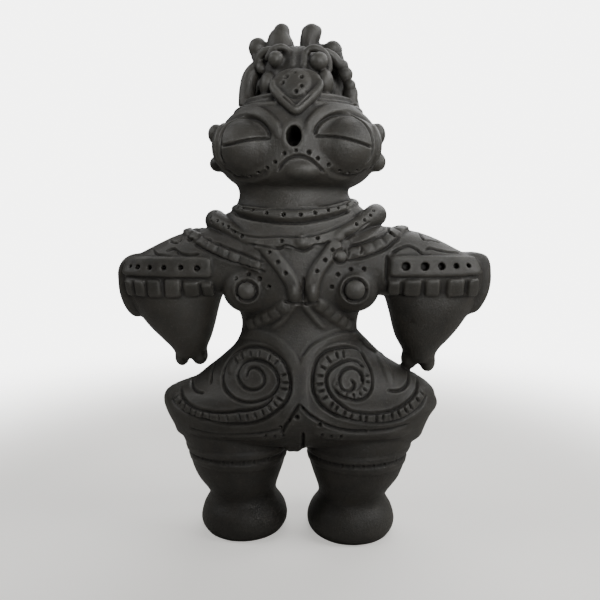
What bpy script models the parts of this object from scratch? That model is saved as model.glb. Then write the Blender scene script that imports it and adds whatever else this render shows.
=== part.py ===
# A goggle-eyed clay figurine, fired dark, standing on its own two feet: one solid.
# Metres, +Z up. The figure faces -Y, and the viewer's left is at -X.
# The origin is on the ground, under the middle of the figure's box.

import math

import bmesh
import bpy
import numpy as np
from mathutils import Matrix, Vector
from mathutils.bvhtree import BVHTree
from mathutils.kdtree import KDTree

# Driving dimensions
HEIGHT = 0.360  # soles to the tips of the horns
ARM_SPAN = 0.264  # across the two sleeves
BODY_DEPTH = 0.092  # hips, front to back
GROOVE_WIDTH = 0.0030  # cut lines of the hips, lids and collars
GROOVE_DEPTH = 0.0017
STRAP_RISE = 0.0020  # how far a laid-on clay strap stands out
MOUTH_WIDTH = 0.0100
MOUTH_DEPTH = 0.0080
HOLE_WIDTH = 0.0052  # the largest holes of the sleeves
HOLE_DEPTH = 0.0040
LEG_BAND = 0.0085  # between the two lines round each thigh

# The figure is laid out in parts: 360 to its height, 264 to its span, 92 to its depth.
PART = HEIGHT / 360
PART_X = ARM_SPAN / 264
PART_Y = BODY_DEPTH / 92

SKIN_VOXEL = 1.5 * PART  # the clay's finest fillet
TRIANGLES = 9900
FAR = HEIGHT  # well outside the figure
COLOUR = (0.047, 0.042, 0.037, 1.0)

# Upright masses, as rows of height, left and right reach, front and back reach, and the
# power of the outline: 2 is an ellipse, more is squarer.
TRUNK = [
    (69, -84, 82, 24, 24, 2.6),
    (73, -91, 88, 32, 32, 2.4),
    (79, -93, 90.5, 39.5, 39, 2.3),
    (84, -95.5, 92.5, 43.5, 42, 2.2),
    (89, -98.3, 95, 45, 44, 2.1),
    (98, -101, 100, 46, 45, 2.0),
    (102, -100, 98.3, 45.5, 45, 1.95),
    (107, -93.5, 97, 44.5, 44, 1.95),
    (111, -82, 93, 43.5, 43, 1.95),
    (120, -69, 78.5, 40.5, 40, 2.0),
    (129, -58, 63, 37.5, 37, 2.0),
    (138, -48, 49, 34.5, 34, 2.0),
    (147, -43, 42.3, 32, 32, 2.0),
    (156, -42, 41.5, 31, 31, 2.0),
    (165, -45, 44, 32, 31, 2.0),
    (175, -51, 51, 35, 33, 2.1),
    (190, -58, 58, 37, 35, 2.2),
    (205, -60, 60, 36, 35, 2.2),
    (215, -59, 57, 34, 34, 2.2),
    (224, -56, 53, 32, 32, 2.1),
    (231, -52, 48, 31, 31, 2.0),
    (237, -46, 42, 30, 30, 2.0),
    (243, -43, 35.5, 29.5, 30, 2.0),
    (248, -43, 34, 30, 31, 2.0),
    (254, -45, 36, 34, 34, 2.0),
    (262, -46, 40, 38, 38, 2.0),
]
HEAD = [
    (247, -34, 28, 24, 26, 2.0),
    (251, -43, 38, 36, 34, 2.0),
    (256, -50, 46, 42, 40, 2.0),
    (262, -55, 51, 44, 44, 2.0),
    (270, -58, 55, 44, 47, 2.0),
    (278, -58.5, 56.5, 44, 48, 2.0),
    (286, -56.5, 54.5, 43, 47, 2.0),
    (292, -52.5, 50.5, 42, 45, 2.0),
    (298, -47, 45, 40, 42, 2.0),
    (304, -41, 39, 35, 37, 2.0),
    (310, -32, 30, 26, 28, 2.0),
]
CROWN = [
    (298, -41, 37, 36, 36, 2.0),
    (305, -36, 32, 35, 34, 2.0),
    (310, -29, 25, 33, 32, 2.0),
    (322, -26, 22, 30, 28, 2.0),
    (330, -25, 20, 26, 25, 2.0),
    (337, -21, 16, 21, 21, 2.0),
    (342, -15, 11, 14, 15, 2.0),
]
# The leg on either side, with its reaches counted from the middle of the body.
LEG = [
    (92, 10, 78, 32, 32, 2.2),
    (80, 7, 84, 34, 34, 2.1),
    (70, 5.5, 84.5, 35, 35, 2.0),
    (61, 7.5, 80.5, 34.5, 34.5, 2.0),
    (51, 9.6, 78.3, 33.5, 33.5, 2.0),
    (42, 12.5, 74.5, 31.5, 31.5, 2.0),
    (33, 15.5, 68, 27.5, 27.5, 2.0),
    (28, 16.3, 65.5, 25.3, 25.3, 2.0),
    (24.5, 15, 66, 26, 26, 2.0),
    (18, 10.4, 69.8, 30.2, 30.2, 2.0),
    (12, 8, 71.6, 32, 32, 2.0),
    (8, 7.4, 72.2, 32.4, 32.4, 2.0),
    (4, 8.3, 71.2, 31.5, 31.5, 2.0),
    (0, 11, 68.6, 28.6, 28.6, 2.0),
    (-3, 14, 66, 26, 26, 2.0),
]
# The forearms, first the one at -X, with their reaches counted from the middle of the arms.
FOREARMS = [
    [
        (190, 54, 121, 25, 25, 2.3),
        (178, 56, 123, 26, 26, 2.3),
        (169, 59, 122, 26, 26, 2.2),
        (160, 61.5, 117, 24.5, 24.5, 2.1),
        (151, 63.5, 110.5, 22, 22, 2.0),
        (143, 66, 102.5, 19, 19, 2.0),
        (136, 69, 95.5, 15.5, 15.5, 2.0),
        (131, 70.5, 92.5, 12.5, 12.5, 2.0),
        (128, 72, 91, 10, 10, 2.0),
    ],
    [
        (190, 56.5, 121, 25, 25, 2.3),
        (178, 58.5, 123, 26, 26, 2.3),
        (169, 61, 122, 26, 26, 2.2),
        (160, 63.5, 117, 24.5, 24.5, 2.1),
        (151, 65.5, 111, 22, 22, 2.0),
        (143, 68.5, 104.5, 19, 19, 2.0),
        (136, 72.5, 98, 15.5, 15.5, 2.0),
        (130, 75, 95.5, 12.5, 12.5, 2.0),
        (127, 76.5, 94, 10, 10, 2.0),
    ],
]
# Rows across: distance from the middle, front and back reach, lowest and highest, power.
SLEEVE = [
    (20, 30, 30, 175, 224, 2.4),
    (45, 31, 30, 175, 224, 2.5),
    (60, 30, 30, 174.5, 223, 2.5),
    (75, 29, 29, 172, 221, 2.5),
    (90, 28, 28, 171, 216.5, 2.5),
    (100, 27, 27, 171, 212, 2.5),
    (110, 26, 26, 171, 207, 2.5),
    (118, 23.5, 23.5, 172, 202, 2.4),
    (124, 19, 19, 174, 198.5, 2.3),
    (128, 13, 13, 178, 194, 2.1),
]
LEG_MIDDLE = -2
ARM_MIDDLE = 1
SLEEVE_INNER = 63  # where the sleeve's bands begin at the chest, from the middle
SLEEVE_TURN = 100  # where they turn round the outside

# Balls, as the middle and the three reaches.
LENSES = [((-33, -26, 274), (20, 21, 18.5)), ((31, -25, 275), (20.5, 22, 18.5))]
CHIN = [((4, -36, 256.5), (15, 13, 10))]
EAR_KNOBS = [
    ((-59.5, -3, 285.5), (4.5, 5, 6)),
    ((-58.5, -3, 266.5), (4.5, 5, 5)),
    ((56.5, -3, 287), (4.5, 5, 6)),
    ((56.5, -3, 267), (5, 5, 5.5)),
]
SHOULDER_KNOBS = [((-61.5, -5, 226), (8, 9, 7)), ((55, -5, 232), (8, 9, 7.5))]
BREASTS = [((-34, -22, 181), (18, 14, 17)), ((37.5, -22, 182), (18, 14, 17))]
BREAST_DISCS = [(-33.5, 181), (37.5, 182)]
DISC_WIDTH = 13.5
CROWN_BALLS = [
    ((-16, -24, 330.5), (6.2, 6.2, 6.2)),
    ((13.5, -24, 329.5), (6.6, 6.6, 6.2)),
    ((-21, -21, 316), (6, 9, 9)),
    ((18.5, -21, 317), (5.5, 9, 8.5)),
    ((-29.5, 1, 342.5), (6.2, 6, 6.4)),
    ((23, 1, 341), (7.5, 6, 5.6)),
    ((30, -2, 326.5), (5, 5, 5.4)),
    ((34, -2, 315.5), (5.2, 5, 6.6)),
]
HAND_LOBES = [
    ((-87, 0, 131), (5.3, 8, 8)),
    ((-74, 0, 131.5), (5.6, 8, 7.5)),
    ((80.5, 0, 130.5), (5.8, 8, 8)),
    ((93, 0, 128.5), (5.3, 8, 8.5)),
]
CROTCH_LUMP = [((-4.5, -16, 70), (7, 16, 8))]

# Clay rolls in the round, as points and the radius at each of them.
HORNS = [
    [(-12, -2, 334, 8), (-12, -2, 343, 7.4), (-11.5, -2, 350, 5.8), (-11.2, -2, 356, 4.2)],
    [(6.5, -2, 334, 8), (7.5, -2, 343, 6.6), (8, -2, 350, 6.6), (8.6, -2, 354, 6.3)],
]
CROWN_ROLLS = [
    [(-30, -3, 330, 4), (-35, -4, 325, 4), (-36.5, -5, 316, 4), (-36.5, -5, 306, 4.4)],
    [(-19, 0, 334, 6), (-26, 0, 339, 5), (-31, 0, 342, 5)],
    [(12, 0, 336, 6), (18, 0, 339.5, 5), (24, 0, 341, 5)],
    [(20, -3, 332, 4), (26, -4, 329, 3.4), (31.5, -4, 321, 3.4), (35.5, -4, 308, 4)],
    [(-27, -14, 329, 3), (-23, -20, 336, 3), (-17, -22, 338, 3)],
    [(-21, -24, 333, 2.4), (-14.5, -24, 339.5, 2.6), (-7, -24, 335, 2.4)],
    [(6, -23, 335, 2.4), (13, -24, 339, 2.6), (20, -21, 333, 2.4), (26, -14, 326, 2.6)],
    [(-1.5, -20, 341, 2), (-1.5, -27, 331, 2), (-1.5, -30, 322, 2)],
    [(2.5, -20, 341, 2), (2.5, -27, 331, 2), (2.5, -30, 322, 2)],
    [(-34, 8, 304, 7), (-33, 9, 318, 7), (-27, 8, 331, 6)],
    [(31, 9, 319, 6), (25, 8, 331, 6)],
    [(-26, 18, 328, 4), (-14, 25, 336, 4), (0, 27, 332, 4), (12, 25, 335, 4), (22, 18, 328, 4)],
    [(-29, 16, 312, 5), (-16, 30, 316, 5), (-2, 33, 312, 5), (12, 30, 316, 5), (25, 16, 312, 5)],
]
SLEEVE_FIN = [(122.5, 9, 196, 6.5), (124.5, 11, 188, 7), (123.5, 12, 176, 7.6), (119, 11, 167, 7.4)]

# Straps laid on the skin, as points seen from the front, with half the strap's width.
LID_RIMS = [
    [(-53, 272), (-51, 283), (-44.5, 292), (-32, 296), (-20, 291), (-13.5, 280)],
    [(11, 281), (17, 290.5), (29, 296), (42, 293), (49, 285), (51.5, 273)],
]
COLLAR = [(-60, 223), (-48, 221.5), (-38, 216.5), (-24, 212.5), (-10, 213), (3, 211.5),
          (14, 214.5), (28, 219), (39, 223.5), (53, 229)]
COLLAR_BEHIND = [(-60, 223), (-45, 219), (-25, 213.5), (-3, 211), (20, 213.5), (38, 220),
                 (53, 229)]
STRAPS = [
    [(-24, 210.5), (-18.3, 206.3), (-12.9, 200), (-7.6, 192.7), (-5, 184), (-4.5, 176.5)],
    [(27, 211.5), (23, 207.7), (18.5, 201.2), (13.4, 194.1), (10.7, 184), (10, 176.5)],
]
SPINE = [(-2, 205), (-1, 190), (0, 172), (-1, 154)]
LADDERS = [
    [(-68, 214.5), (-56.5, 209.5), (-45.5, 205), (-35, 200.5), (-22, 197.5)],
    [(68, 216), (60.5, 213.5), (43.5, 207), (33.5, 203), (19, 195)],
]
RIBS = [
    [(-2, 172), (-10, 167.5), (-20, 162.5), (-36, 156)],
    [(5, 171), (13, 165), (25, 159), (38, 156)],
]

# Lines cut in the skin, as points seen from the front.
LID_SLITS = [
    [(-52, 276), (-44, 276.5), (-36, 277.3), (-27, 277.6), (-15.5, 277.4)],
    [(11, 278.8), (24.5, 278.6), (34, 277.4), (41, 276.2), (48.5, 274.5)],
]
CHIN_LINE = [(-11, 258), (-6.6, 264.3), (2.8, 267.2), (9, 265.4), (15.2, 261.4), (20, 258)]
HIP_EDGES = [
    [(2, 104), (-4, 97), (-10, 91.5), (-17, 87.5), (-31, 85.5), (-45, 84.5), (-64, 83)],
    [(3, 106), (13, 98), (26, 90.6), (42.5, 87), (63, 86.5), (81, 88)],
]
BAND_TOPS = [
    [(-12.8, 113.8), (-20.6, 105.4), (-37.6, 100.5), (-57.6, 98), (-73, 100), (-86, 106)],
    [(33, 132), (24, 129.5), (20, 123), (20.4, 118.7), (27.7, 108), (35.7, 102.5),
     (55.8, 99.5), (71.8, 103), (82.5, 111.8)],
]
BAND_FOOTS = [
    [(-12.5, 102.6), (-22.5, 95.5), (-41.2, 91.3), (-60.6, 92), (-78.5, 94.7), (-89.3, 100.6)],
    [(15.9, 106.9), (32.4, 97.5), (52.5, 92.9), (71.1, 93.7), (85.8, 101.4)],
]
SPIRAL_MIDDLES = [(-29.5, 121), (35, 122)]
SPIRAL_TURNS = [2.85, 2.6]
SPIRAL_REACH = [26.0, 24.5]
SPIRAL_EYE = 3.0  # where a spiral begins, from its middle
SPIRAL_END = 0.45  # how far below level a spiral runs out, in radians
MOUTH = (0.3, 279.3)
SLEEVE_HOLES = [(69, 1.0), (83, 1.0), (95, 0.92), (105.5, 0.8), (114.5, 0.7)]
THIGH_LINE = 64.5  # the upper line round each thigh
PIERCED_BAND = (195.4, 7.0)  # height, and half the width
PADDED_BAND = (181.6, 6.2)
PADS_TO_A_SLEEVE = 9
PADS_TO_A_LADDER = 5


def at(x, y, z):
    return Vector((x * PART_X, y * PART_Y, z * PART))


def rounded(angle, power):
    """The two factors of a superellipse at an angle."""
    c = math.cos(angle)
    s = math.sin(angle)
    return (
        math.copysign(abs(c) ** (2 / power), c),
        math.copysign(abs(s) ** (2 / power), s),
    )


def through(table, marks, step):
    """Rows on a smooth curve through a table's rows, which lie at the marks along it."""
    slopes = np.gradient(table, marks, axis=0)
    found = []
    for i, gap in enumerate(np.diff(marks)):
        count = max(1, round(gap / step))
        for k in range(count):
            t = k / count
            row = (
                (2 * t**3 - 3 * t**2 + 1) * table[i]
                + (t**3 - 2 * t**2 + t) * gap * slopes[i]
                + (3 * t**2 - 2 * t**3) * table[i + 1]
                + (t**3 - t**2) * gap * slopes[i + 1]
            )
            found.append(row.tolist())
    found.append(table[-1].tolist())
    return found


def smooth(points, step):
    """Points on a smooth curve through the given ones, about a step apart."""
    table = np.array(points, float)
    gaps = np.linalg.norm(np.diff(table, axis=0), axis=1)
    return through(table, np.concatenate([[0], np.cumsum(gaps)]), step)


def smooth_rows(rows, step=3.0):
    """The rows of a table and those between them, smooth against the first column."""
    table = np.array(sorted(rows), float)
    return through(table, table[:, 0], step)


def loft(bm, outlines, closed=False):
    """One closed skin through outlines that have as many points each."""
    rings = [[bm.verts.new(p) for p in outline] for outline in outlines]
    count = len(rings[0])
    pairs = list(zip(rings, rings[1:]))
    if closed:
        pairs.append((rings[-1], rings[0]))
    for low, high in pairs:
        for i in range(count):
            k = (i + 1) % count
            bm.faces.new((low[i], low[k], high[k], high[i]))
    if not closed:
        bm.faces.new(rings[0][::-1])
        bm.faces.new(rings[-1])


def upright(bm, rows, middle=0.0, side=1, sides=40):
    outlines = []
    for z, a, b, front, back, power in smooth_rows(rows):
        x = middle + side * (a + b) / 2
        wide = (b - a) / 2
        outline = []
        for i in range(sides):
            c, s = rounded(2 * math.pi * i / sides, power)
            outline.append(at(x + wide * c, (back if s > 0 else front) * s, z))
        outlines.append(outline)
    loft(bm, outlines)


def sideways(bm, rows, middle=0.0, side=1, sides=40):
    outlines = []
    for x, front, back, low, high, power in smooth_rows(rows):
        outline = []
        for i in range(sides):
            c, s = rounded(2 * math.pi * i / sides, power)
            y = (back if c > 0 else front) * c
            z = (low + high) / 2 + (high - low) / 2 * s
            outline.append(at(middle + side * x, y, z))
        outlines.append(outline)
    loft(bm, outlines)


def ball(bm, middle, reaches):
    made = bmesh.ops.create_uvsphere(bm, u_segments=20, v_segments=12, radius=1.0)
    stretch = Matrix.Diagonal(at(*reaches))
    for v in made["verts"]:
        v.co = stretch @ v.co + at(*middle)


def round_roll(bm, points, side=1, middle=0.0, sides=12):
    """A clay roll through points in the round, each with its radius, with rounded ends."""
    rows = smooth(points, 2.0)
    path = [Vector((middle + side * x, y, z)) for x, y, z, r in rows]
    radii = [r for x, y, z, r in rows]
    last = len(path) - 1
    along = [(path[min(i + 1, last)] - path[max(i - 1, 0)]).normalized() for i in range(last + 1)]
    stations = [(0, -share) for share in (0.98, 0.7, 0.35)]
    stations += [(i, 0.0) for i in range(last + 1)]
    stations += [(last, share) for share in (0.35, 0.7, 0.98)]
    outlines = []
    for i, beyond in stations:
        wide = radii[i] * math.sqrt(1 - beyond * beyond)
        hub = path[i] + along[i] * radii[i] * beyond
        u = along[i].cross(Vector((0.03, 1, 0.02))).normalized()
        v = along[i].cross(u)
        angles = [2 * math.pi * k / sides for k in range(sides)]
        outlines.append([at(*(hub + wide * (math.cos(a) * u + math.sin(a) * v))) for a in angles])
    loft(bm, outlines)


class Skin:
    """A surface that straps are laid on and lines are drawn on."""

    def __init__(self, mesh):
        corners = [v.co.copy() for v in mesh.vertices]
        self.tree = BVHTree.FromPolygons(corners, [p.vertices for p in mesh.polygons])

    def seen(self, start, way):
        point, normal, face, reach = self.tree.ray_cast(start, way)
        if point is not None and normal.dot(way) > 0:
            normal = -normal
        return point, normal

    def front(self, points, step=2.5, behind=False):
        """Points seen from the front, or from behind, as places and normals on the skin."""
        way = Vector((0, -1 if behind else 1, 0))
        found = [self.seen(at(x, 0, z) - way * FAR, way) for x, z in smooth(points, step)]
        return [pair for pair in found if pair[0] is not None]

    def ring(self, middle, height, start, end, step):
        """A line round an upright axis through a point, from one angle to another."""
        found = []
        count = round(abs(end - start) / step)
        for i in range(count + 1):
            angle = math.radians(start + (end - start) * i / count)
            way = Vector((-math.cos(angle), -math.sin(angle), 0))
            found.append(self.seen(at(middle, 0, height(angle)) - way * FAR, way))
        return [pair for pair in found if pair[0] is not None]

    def sleeve_ring(self, z, side):
        """A line round a sleeve, from the chest round the outside to the back."""
        ends = [(ARM_MIDDLE + side * x, z) for x in (SLEEVE_INNER, SLEEVE_TURN)]
        outside = -90 if side > 0 else -270
        middle = ARM_MIDDLE + side * SLEEVE_TURN
        outer = self.ring(middle, lambda a: z, outside, outside + 180, 9)
        if side < 0:
            outer.reverse()
        behind = self.front(ends, 3, behind=True)
        return self.front(ends, 3)[:-1] + outer + behind[::-1][1:]


def strap(bm, line, half_width, rise, closed=False):
    """A low rounded strap along a line of places and normals on the skin."""
    sides = 12
    sunk = 2.0 * PART
    outlines = []
    count = len(line)
    for i, (point, normal) in enumerate(line):
        before = line[(i - 1) % count if closed else max(i - 1, 0)][0]
        after = line[(i + 1) % count if closed else min(i + 1, count - 1)][0]
        along = (after - before).normalized()
        across = along.cross(normal).normalized()
        out = across.cross(along).normalized()
        if out.dot(normal) < 0:
            out = -out
        outlines.append(
            [
                point + across * half_width * c + out * ((rise + sunk) * s - sunk * (s > 0))
                for c, s in (rounded(2 * math.pi * k / sides, 2.6) for k in range(sides))
            ]
        )
    if not closed:
        for end, beyond in ((0, 1), (-1, -2)):
            middle = sum(outlines[end], Vector()) / sides
            away = (line[end][0] - line[beyond][0]).normalized() * half_width * 0.6
            tip = [middle + (p - middle) * 0.45 + away for p in outlines[end]]
            if end == 0:
                outlines.insert(0, tip)
            else:
                outlines.append(tip)
    loft(bm, outlines, closed)


def pad(bm, point, normal, along, half_length, half_width, rise):
    """A small square pad of clay on the skin."""
    across = along.cross(normal).normalized() * half_width
    along = normal.cross(across).normalized() * half_length
    outlines = []
    for depth, share in ((-2.0 * PART, 1.0), (rise, 0.85)):
        middle = point + normal * depth
        signs = ((-1, -1), (1, -1), (1, 1), (-1, 1))
        outlines.append([middle + (along * a + across * b) * share for a, b in signs])
    loft(bm, outlines)


def pads(bm, line, count, half_length, half_width, rise):
    for k in range(count):
        i = round((k + 0.5) / count * (len(line) - 1))
        i = min(max(i, 1), len(line) - 2)
        point, normal = line[i]
        pad(bm, point, normal, line[i + 1][0] - line[i - 1][0], half_length, half_width, rise)


def bare_masses():
    bm = bmesh.new()
    upright(bm, TRUNK)
    upright(bm, HEAD)
    upright(bm, CROWN)
    for side, forearm in zip((-1, 1), FOREARMS):
        upright(bm, LEG, LEG_MIDDLE, side)
        upright(bm, forearm, ARM_MIDDLE, side)
        sideways(bm, SLEEVE, ARM_MIDDLE, side)
        round_roll(bm, SLEEVE_FIN, side, ARM_MIDDLE)
    for group in (LENSES, CHIN, EAR_KNOBS, BREASTS, HAND_LOBES, CROTCH_LUMP):
        for middle, reaches in group:
            ball(bm, middle, reaches)
    return bm


def drop_outline(share):
    """The crown's drop-shaped shield, seen from the front, at a share of its size."""
    outline = []
    for i in range(28):
        angle = 2 * math.pi * i / 28
        low = max(0.0, -math.sin(angle))
        x = 16.5 * math.cos(angle) * (1 - 0.75 * low**1.6)
        z = 15.5 * math.sin(angle) * (1 + 0.15 * (low > 0))
        outline.append((0.5 + x * share, 309.5 + z * share))
    return outline


def shield(bm):
    lean = 0.42
    outlines = []
    for y, share in ((-10, 0.95), (-31, 1.0), (-35, 0.93)):
        outlines.append([at(x, y + (z - 309.5) * lean, z) for x, z in drop_outline(share)])
    loft(bm, outlines)


def crown(bm):
    for middle, reaches in CROWN_BALLS:
        ball(bm, middle, reaches)
    for points in HORNS + CROWN_ROLLS:
        round_roll(bm, points)
    shield(bm)


def face(bm, skin):
    for points in LID_RIMS:
        strap(bm, skin.front(points), 2.6 * PART, 1.6 * PART)
    brow = skin.ring(-1, lambda a: 306 + math.sin(a), 0, 350, 10)
    strap(bm, brow, 2.8 * PART, STRAP_RISE, closed=True)


def yoke(bm, skin):
    """The collars, the straps over the chest, and the ladders over the shoulders."""
    for middle, reaches in SHOULDER_KNOBS:
        ball(bm, middle, reaches)
    neck = skin.ring(-3, lambda a: 236.5 + 4.5 * math.sin(a), 0, 350, 10)
    strap(bm, neck, 3.6 * PART, STRAP_RISE * 1.4, closed=True)
    strap(bm, skin.front(COLLAR), 4.4 * PART, STRAP_RISE)
    strap(bm, skin.front(COLLAR_BEHIND, behind=True), 4.4 * PART, STRAP_RISE)
    strap(bm, skin.front(SPINE, behind=True), 4.0 * PART, STRAP_RISE)
    for points in STRAPS:
        strap(bm, skin.front(points), 4.2 * PART, STRAP_RISE)
    for points in RIBS:
        strap(bm, skin.front(points), 3.6 * PART, STRAP_RISE * 0.8)
    for points in LADDERS:
        for behind in (False, True):
            line = skin.front(points, behind=behind)
            strap(bm, line, 4.8 * PART, STRAP_RISE * 0.5)
            pads(bm, line, PADS_TO_A_LADDER, 3.6 * PART, 3.4 * PART, STRAP_RISE * 0.9)
    for x, z in BREAST_DISCS:
        point, normal = skin.front([(x, z), (x + 1, z)])[0]
        middle = (point.x / PART_X, point.y / PART_Y, point.z / PART)
        ball(bm, middle, (DISC_WIDTH / 2, 2.8, DISC_WIDTH / 2))


def sleeves(bm, skin):
    """The two bands round each sleeve: the upper is pierced, the lower carries pads."""
    for side in (-1, 1):
        z, half = PIERCED_BAND
        strap(bm, skin.sleeve_ring(z, side), half * PART, STRAP_RISE)
        z, half = PADDED_BAND
        line = skin.sleeve_ring(z, side)
        strap(bm, line, half * PART, STRAP_RISE * 0.4)
        pads(bm, line, PADS_TO_A_SLEEVE, 4.8 * PART, half * 0.85 * PART, STRAP_RISE * 0.85)


def spiral(middle, turns, reach, side):
    """A spiral seen from the front, from its middle out to the side by the body's middle."""
    steps = round(turns * 16)
    points = []
    for i in range(steps + 1):
        share = i / steps
        radius = SPIRAL_EYE + (reach - SPIRAL_EYE) * share
        angle = 2 * math.pi * turns * (share - 1) - SPIRAL_END
        across = side * radius * math.cos(angle)
        points.append((middle[0] - across, middle[1] + radius * math.sin(angle)))
    return points


def cuts(skin):
    """The lines pressed into the skin, as one list of places."""
    step = 0.8
    lines = [skin.front(points, step) for points in LID_SLITS + [CHIN_LINE]]
    lines.append(skin.front(drop_outline(0.7) + drop_outline(0.7)[:1], step))
    for behind in (False, True):
        for points in HIP_EDGES + BAND_TOPS:
            lines.append(skin.front(points, step, behind))
        for k, side in enumerate((-1, 1)):
            swirl = spiral(SPIRAL_MIDDLES[k], SPIRAL_TURNS[k], SPIRAL_REACH[k], side)
            lines.append(skin.front(swirl + BAND_FOOTS[k], step, behind))
    for side in (-1, 1):
        for z in (THIGH_LINE, THIGH_LINE - LEG_BAND / PART):
            lines.append(skin.ring(LEG_MIDDLE + side * 46, lambda a, z=z: z, -175, 175, 2))
    return [point for line in lines for point, normal in line]


def corners_of(mesh):
    """The mesh's corners and their normals, as arrays."""
    count = len(mesh.vertices)
    places = np.empty(3 * count)
    normals = np.empty(3 * count)
    mesh.vertices.foreach_get("co", places)
    mesh.vertex_normals.foreach_get("vector", normals)
    return places.reshape(count, 3), normals.reshape(count, 3)


def press(mesh, places, reach, depth):
    """Pushes the skin in near the places, most under the middle of the tool."""
    tree = KDTree(len(places))
    for i, place in enumerate(places):
        tree.insert(place, i)
    tree.balance()
    corners, normals = corners_of(mesh)
    away = np.array([tree.find(corner)[2] for corner in corners])
    near = away < reach
    share = 0.5 + 0.5 * np.cos(math.pi * away[near] / reach)
    corners[near] -= normals[near] * (depth * share)[:, None]
    mesh.vertices.foreach_set("co", corners.ravel())


def holes(skin):
    """The mouth and the sleeves' holes, as rim, half width, half height and depth."""
    mouth = skin.front([MOUTH, (MOUTH[0] + 1, MOUTH[1])])[0][0]
    found = [(mouth, MOUTH_WIDTH / 2, MOUTH_WIDTH / 2 * 1.3, MOUTH_DEPTH)]
    for side in (-1, 1):
        for x, share in SLEEVE_HOLES:
            across = ARM_MIDDLE + side * x
            line = [(across, PIERCED_BAND[0]), (across + 1, PIERCED_BAND[0])]
            for behind in (False, True):
                rim = skin.front(line, behind=behind)[0][0]
                found.append((rim, HOLE_WIDTH / 2 * share, HOLE_WIDTH / 2 * share, HOLE_DEPTH))
    return found


def bore(mesh, found):
    """Pushes each hole straight in from its rim, with a rounded lip."""
    lip = 1.25
    corners = corners_of(mesh)[0]
    for rim, wide, high, depth in found:
        away = corners - np.array(rim)
        share = np.hypot(away[:, 0] / wide, away[:, 2] / high)
        inside = (share < lip) & (abs(away[:, 1]) < 4 * PART)
        push = depth * np.minimum(1.0, (lip - share[inside]) / 0.45)
        corners[inside, 1] += push if rim.y < 0 else -push
    mesh.vertices.foreach_set("co", corners.ravel())


def one_skin(mesh, voxel, smoothing):
    """The overlapping shapes of a mesh as one closed skin."""
    helper = bpy.data.objects.new("helper", mesh)
    bpy.context.scene.collection.objects.link(helper)
    remesh = helper.modifiers.new("remesh", "REMESH")
    remesh.mode = "VOXEL"
    remesh.voxel_size = voxel
    if smoothing:
        soften = helper.modifiers.new("soften", "SMOOTH")
        soften.factor = 0.5
        soften.iterations = smoothing
    return taken(helper)


def taken(helper):
    """The evaluated mesh of an object, which is then removed."""
    bpy.context.view_layer.update()
    seen = helper.evaluated_get(bpy.context.evaluated_depsgraph_get())
    mesh = bpy.data.meshes.new_from_object(seen)
    old = helper.data
    bpy.data.objects.remove(helper)
    bpy.data.meshes.remove(old)
    return mesh


def mesh_of(bm):
    bmesh.ops.recalc_face_normals(bm, faces=bm.faces)
    mesh = bpy.data.meshes.new("clay")
    bm.to_mesh(mesh)
    bm.free()
    return mesh


def thinned(mesh):
    """The skin with few triangles, most of them where it bends."""
    helper = bpy.data.objects.new("helper", mesh)
    bpy.context.scene.collection.objects.link(helper)
    thin = helper.modifiers.new("thin", "DECIMATE")
    thin.ratio = TRIANGLES / (2 * len(mesh.polygons))
    thin.use_collapse_triangulate = True
    return taken(helper)


def keep_the_outside(bm):
    """Removes the skins of small voids shut inside the clay."""
    waiting = set(bm.verts)
    skins = []
    while waiting:
        found = {waiting.pop()}
        edge_of_it = list(found)
        while edge_of_it:
            corner = edge_of_it.pop()
            fresh = {e.other_vert(corner) for e in corner.link_edges} - found
            found |= fresh
            edge_of_it += fresh
        waiting -= found
        skins.append(found)
    skins.sort(key=len)
    inner = [v for skin in skins[:-1] for v in skin]
    bmesh.ops.delete(bm, geom=inner, context="VERTS")


def stand(mesh):
    """Cuts the soles flat on the ground and puts the middle of the box over the origin."""
    bm = bmesh.new()
    bm.from_mesh(mesh)
    keep_the_outside(bm)
    everything = bm.verts[:] + bm.edges[:] + bm.faces[:]
    bmesh.ops.bisect_plane(
        bm, geom=everything, plane_co=(0, 0, 0), plane_no=(0, 0, 1), clear_inner=True
    )
    rim = [e for e in bm.edges if e.is_boundary]
    bmesh.ops.contextual_create(bm, geom=rim)
    low = [min(v.co[i] for v in bm.verts) for i in range(2)]
    high = [max(v.co[i] for v in bm.verts) for i in range(2)]
    middle = Vector(((low[0] + high[0]) / 2, (low[1] + high[1]) / 2, 0))
    bmesh.ops.translate(bm, verts=bm.verts, vec=-middle)
    bmesh.ops.recalc_face_normals(bm, faces=bm.faces)
    bm.to_mesh(mesh)
    bm.free()


def clay():
    material = bpy.data.materials.new("fired_clay")
    material.use_nodes = True
    shader = material.node_tree.nodes["Principled BSDF"]
    shader.inputs["Base Color"].default_value = COLOUR
    shader.inputs["Roughness"].default_value = 0.55
    shader.inputs["Metallic"].default_value = 0.0
    return material


def build():
    for thing in list(bpy.data.objects):
        bpy.data.objects.remove(thing)
    bare = one_skin(mesh_of(bare_masses()), SKIN_VOXEL, 3)
    skin = Skin(bare)
    bm = bmesh.new()
    crown(bm)
    face(bm, skin)
    yoke(bm, skin)
    sleeves(bm, skin)
    bm.from_mesh(bare)
    dressed = one_skin(mesh_of(bm), SKIN_VOXEL, 2)
    skin = Skin(dressed)
    found = holes(skin)
    press(dressed, cuts(skin), GROOVE_WIDTH * 0.75, GROOVE_DEPTH)
    bore(dressed, found)
    mesh = thinned(dressed)
    stand(mesh)
    mesh.name = "dogu_figure"
    mesh.materials.append(clay())
    figure = bpy.data.objects.new("dogu_figure", mesh)
    bpy.context.scene.collection.objects.link(figure)
    return figure


build()
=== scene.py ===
import math
import random
import time

import bmesh
import bpy
import numpy as np
from mathutils import Matrix, Vector
from mathutils.bvhtree import BVHTree


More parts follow.
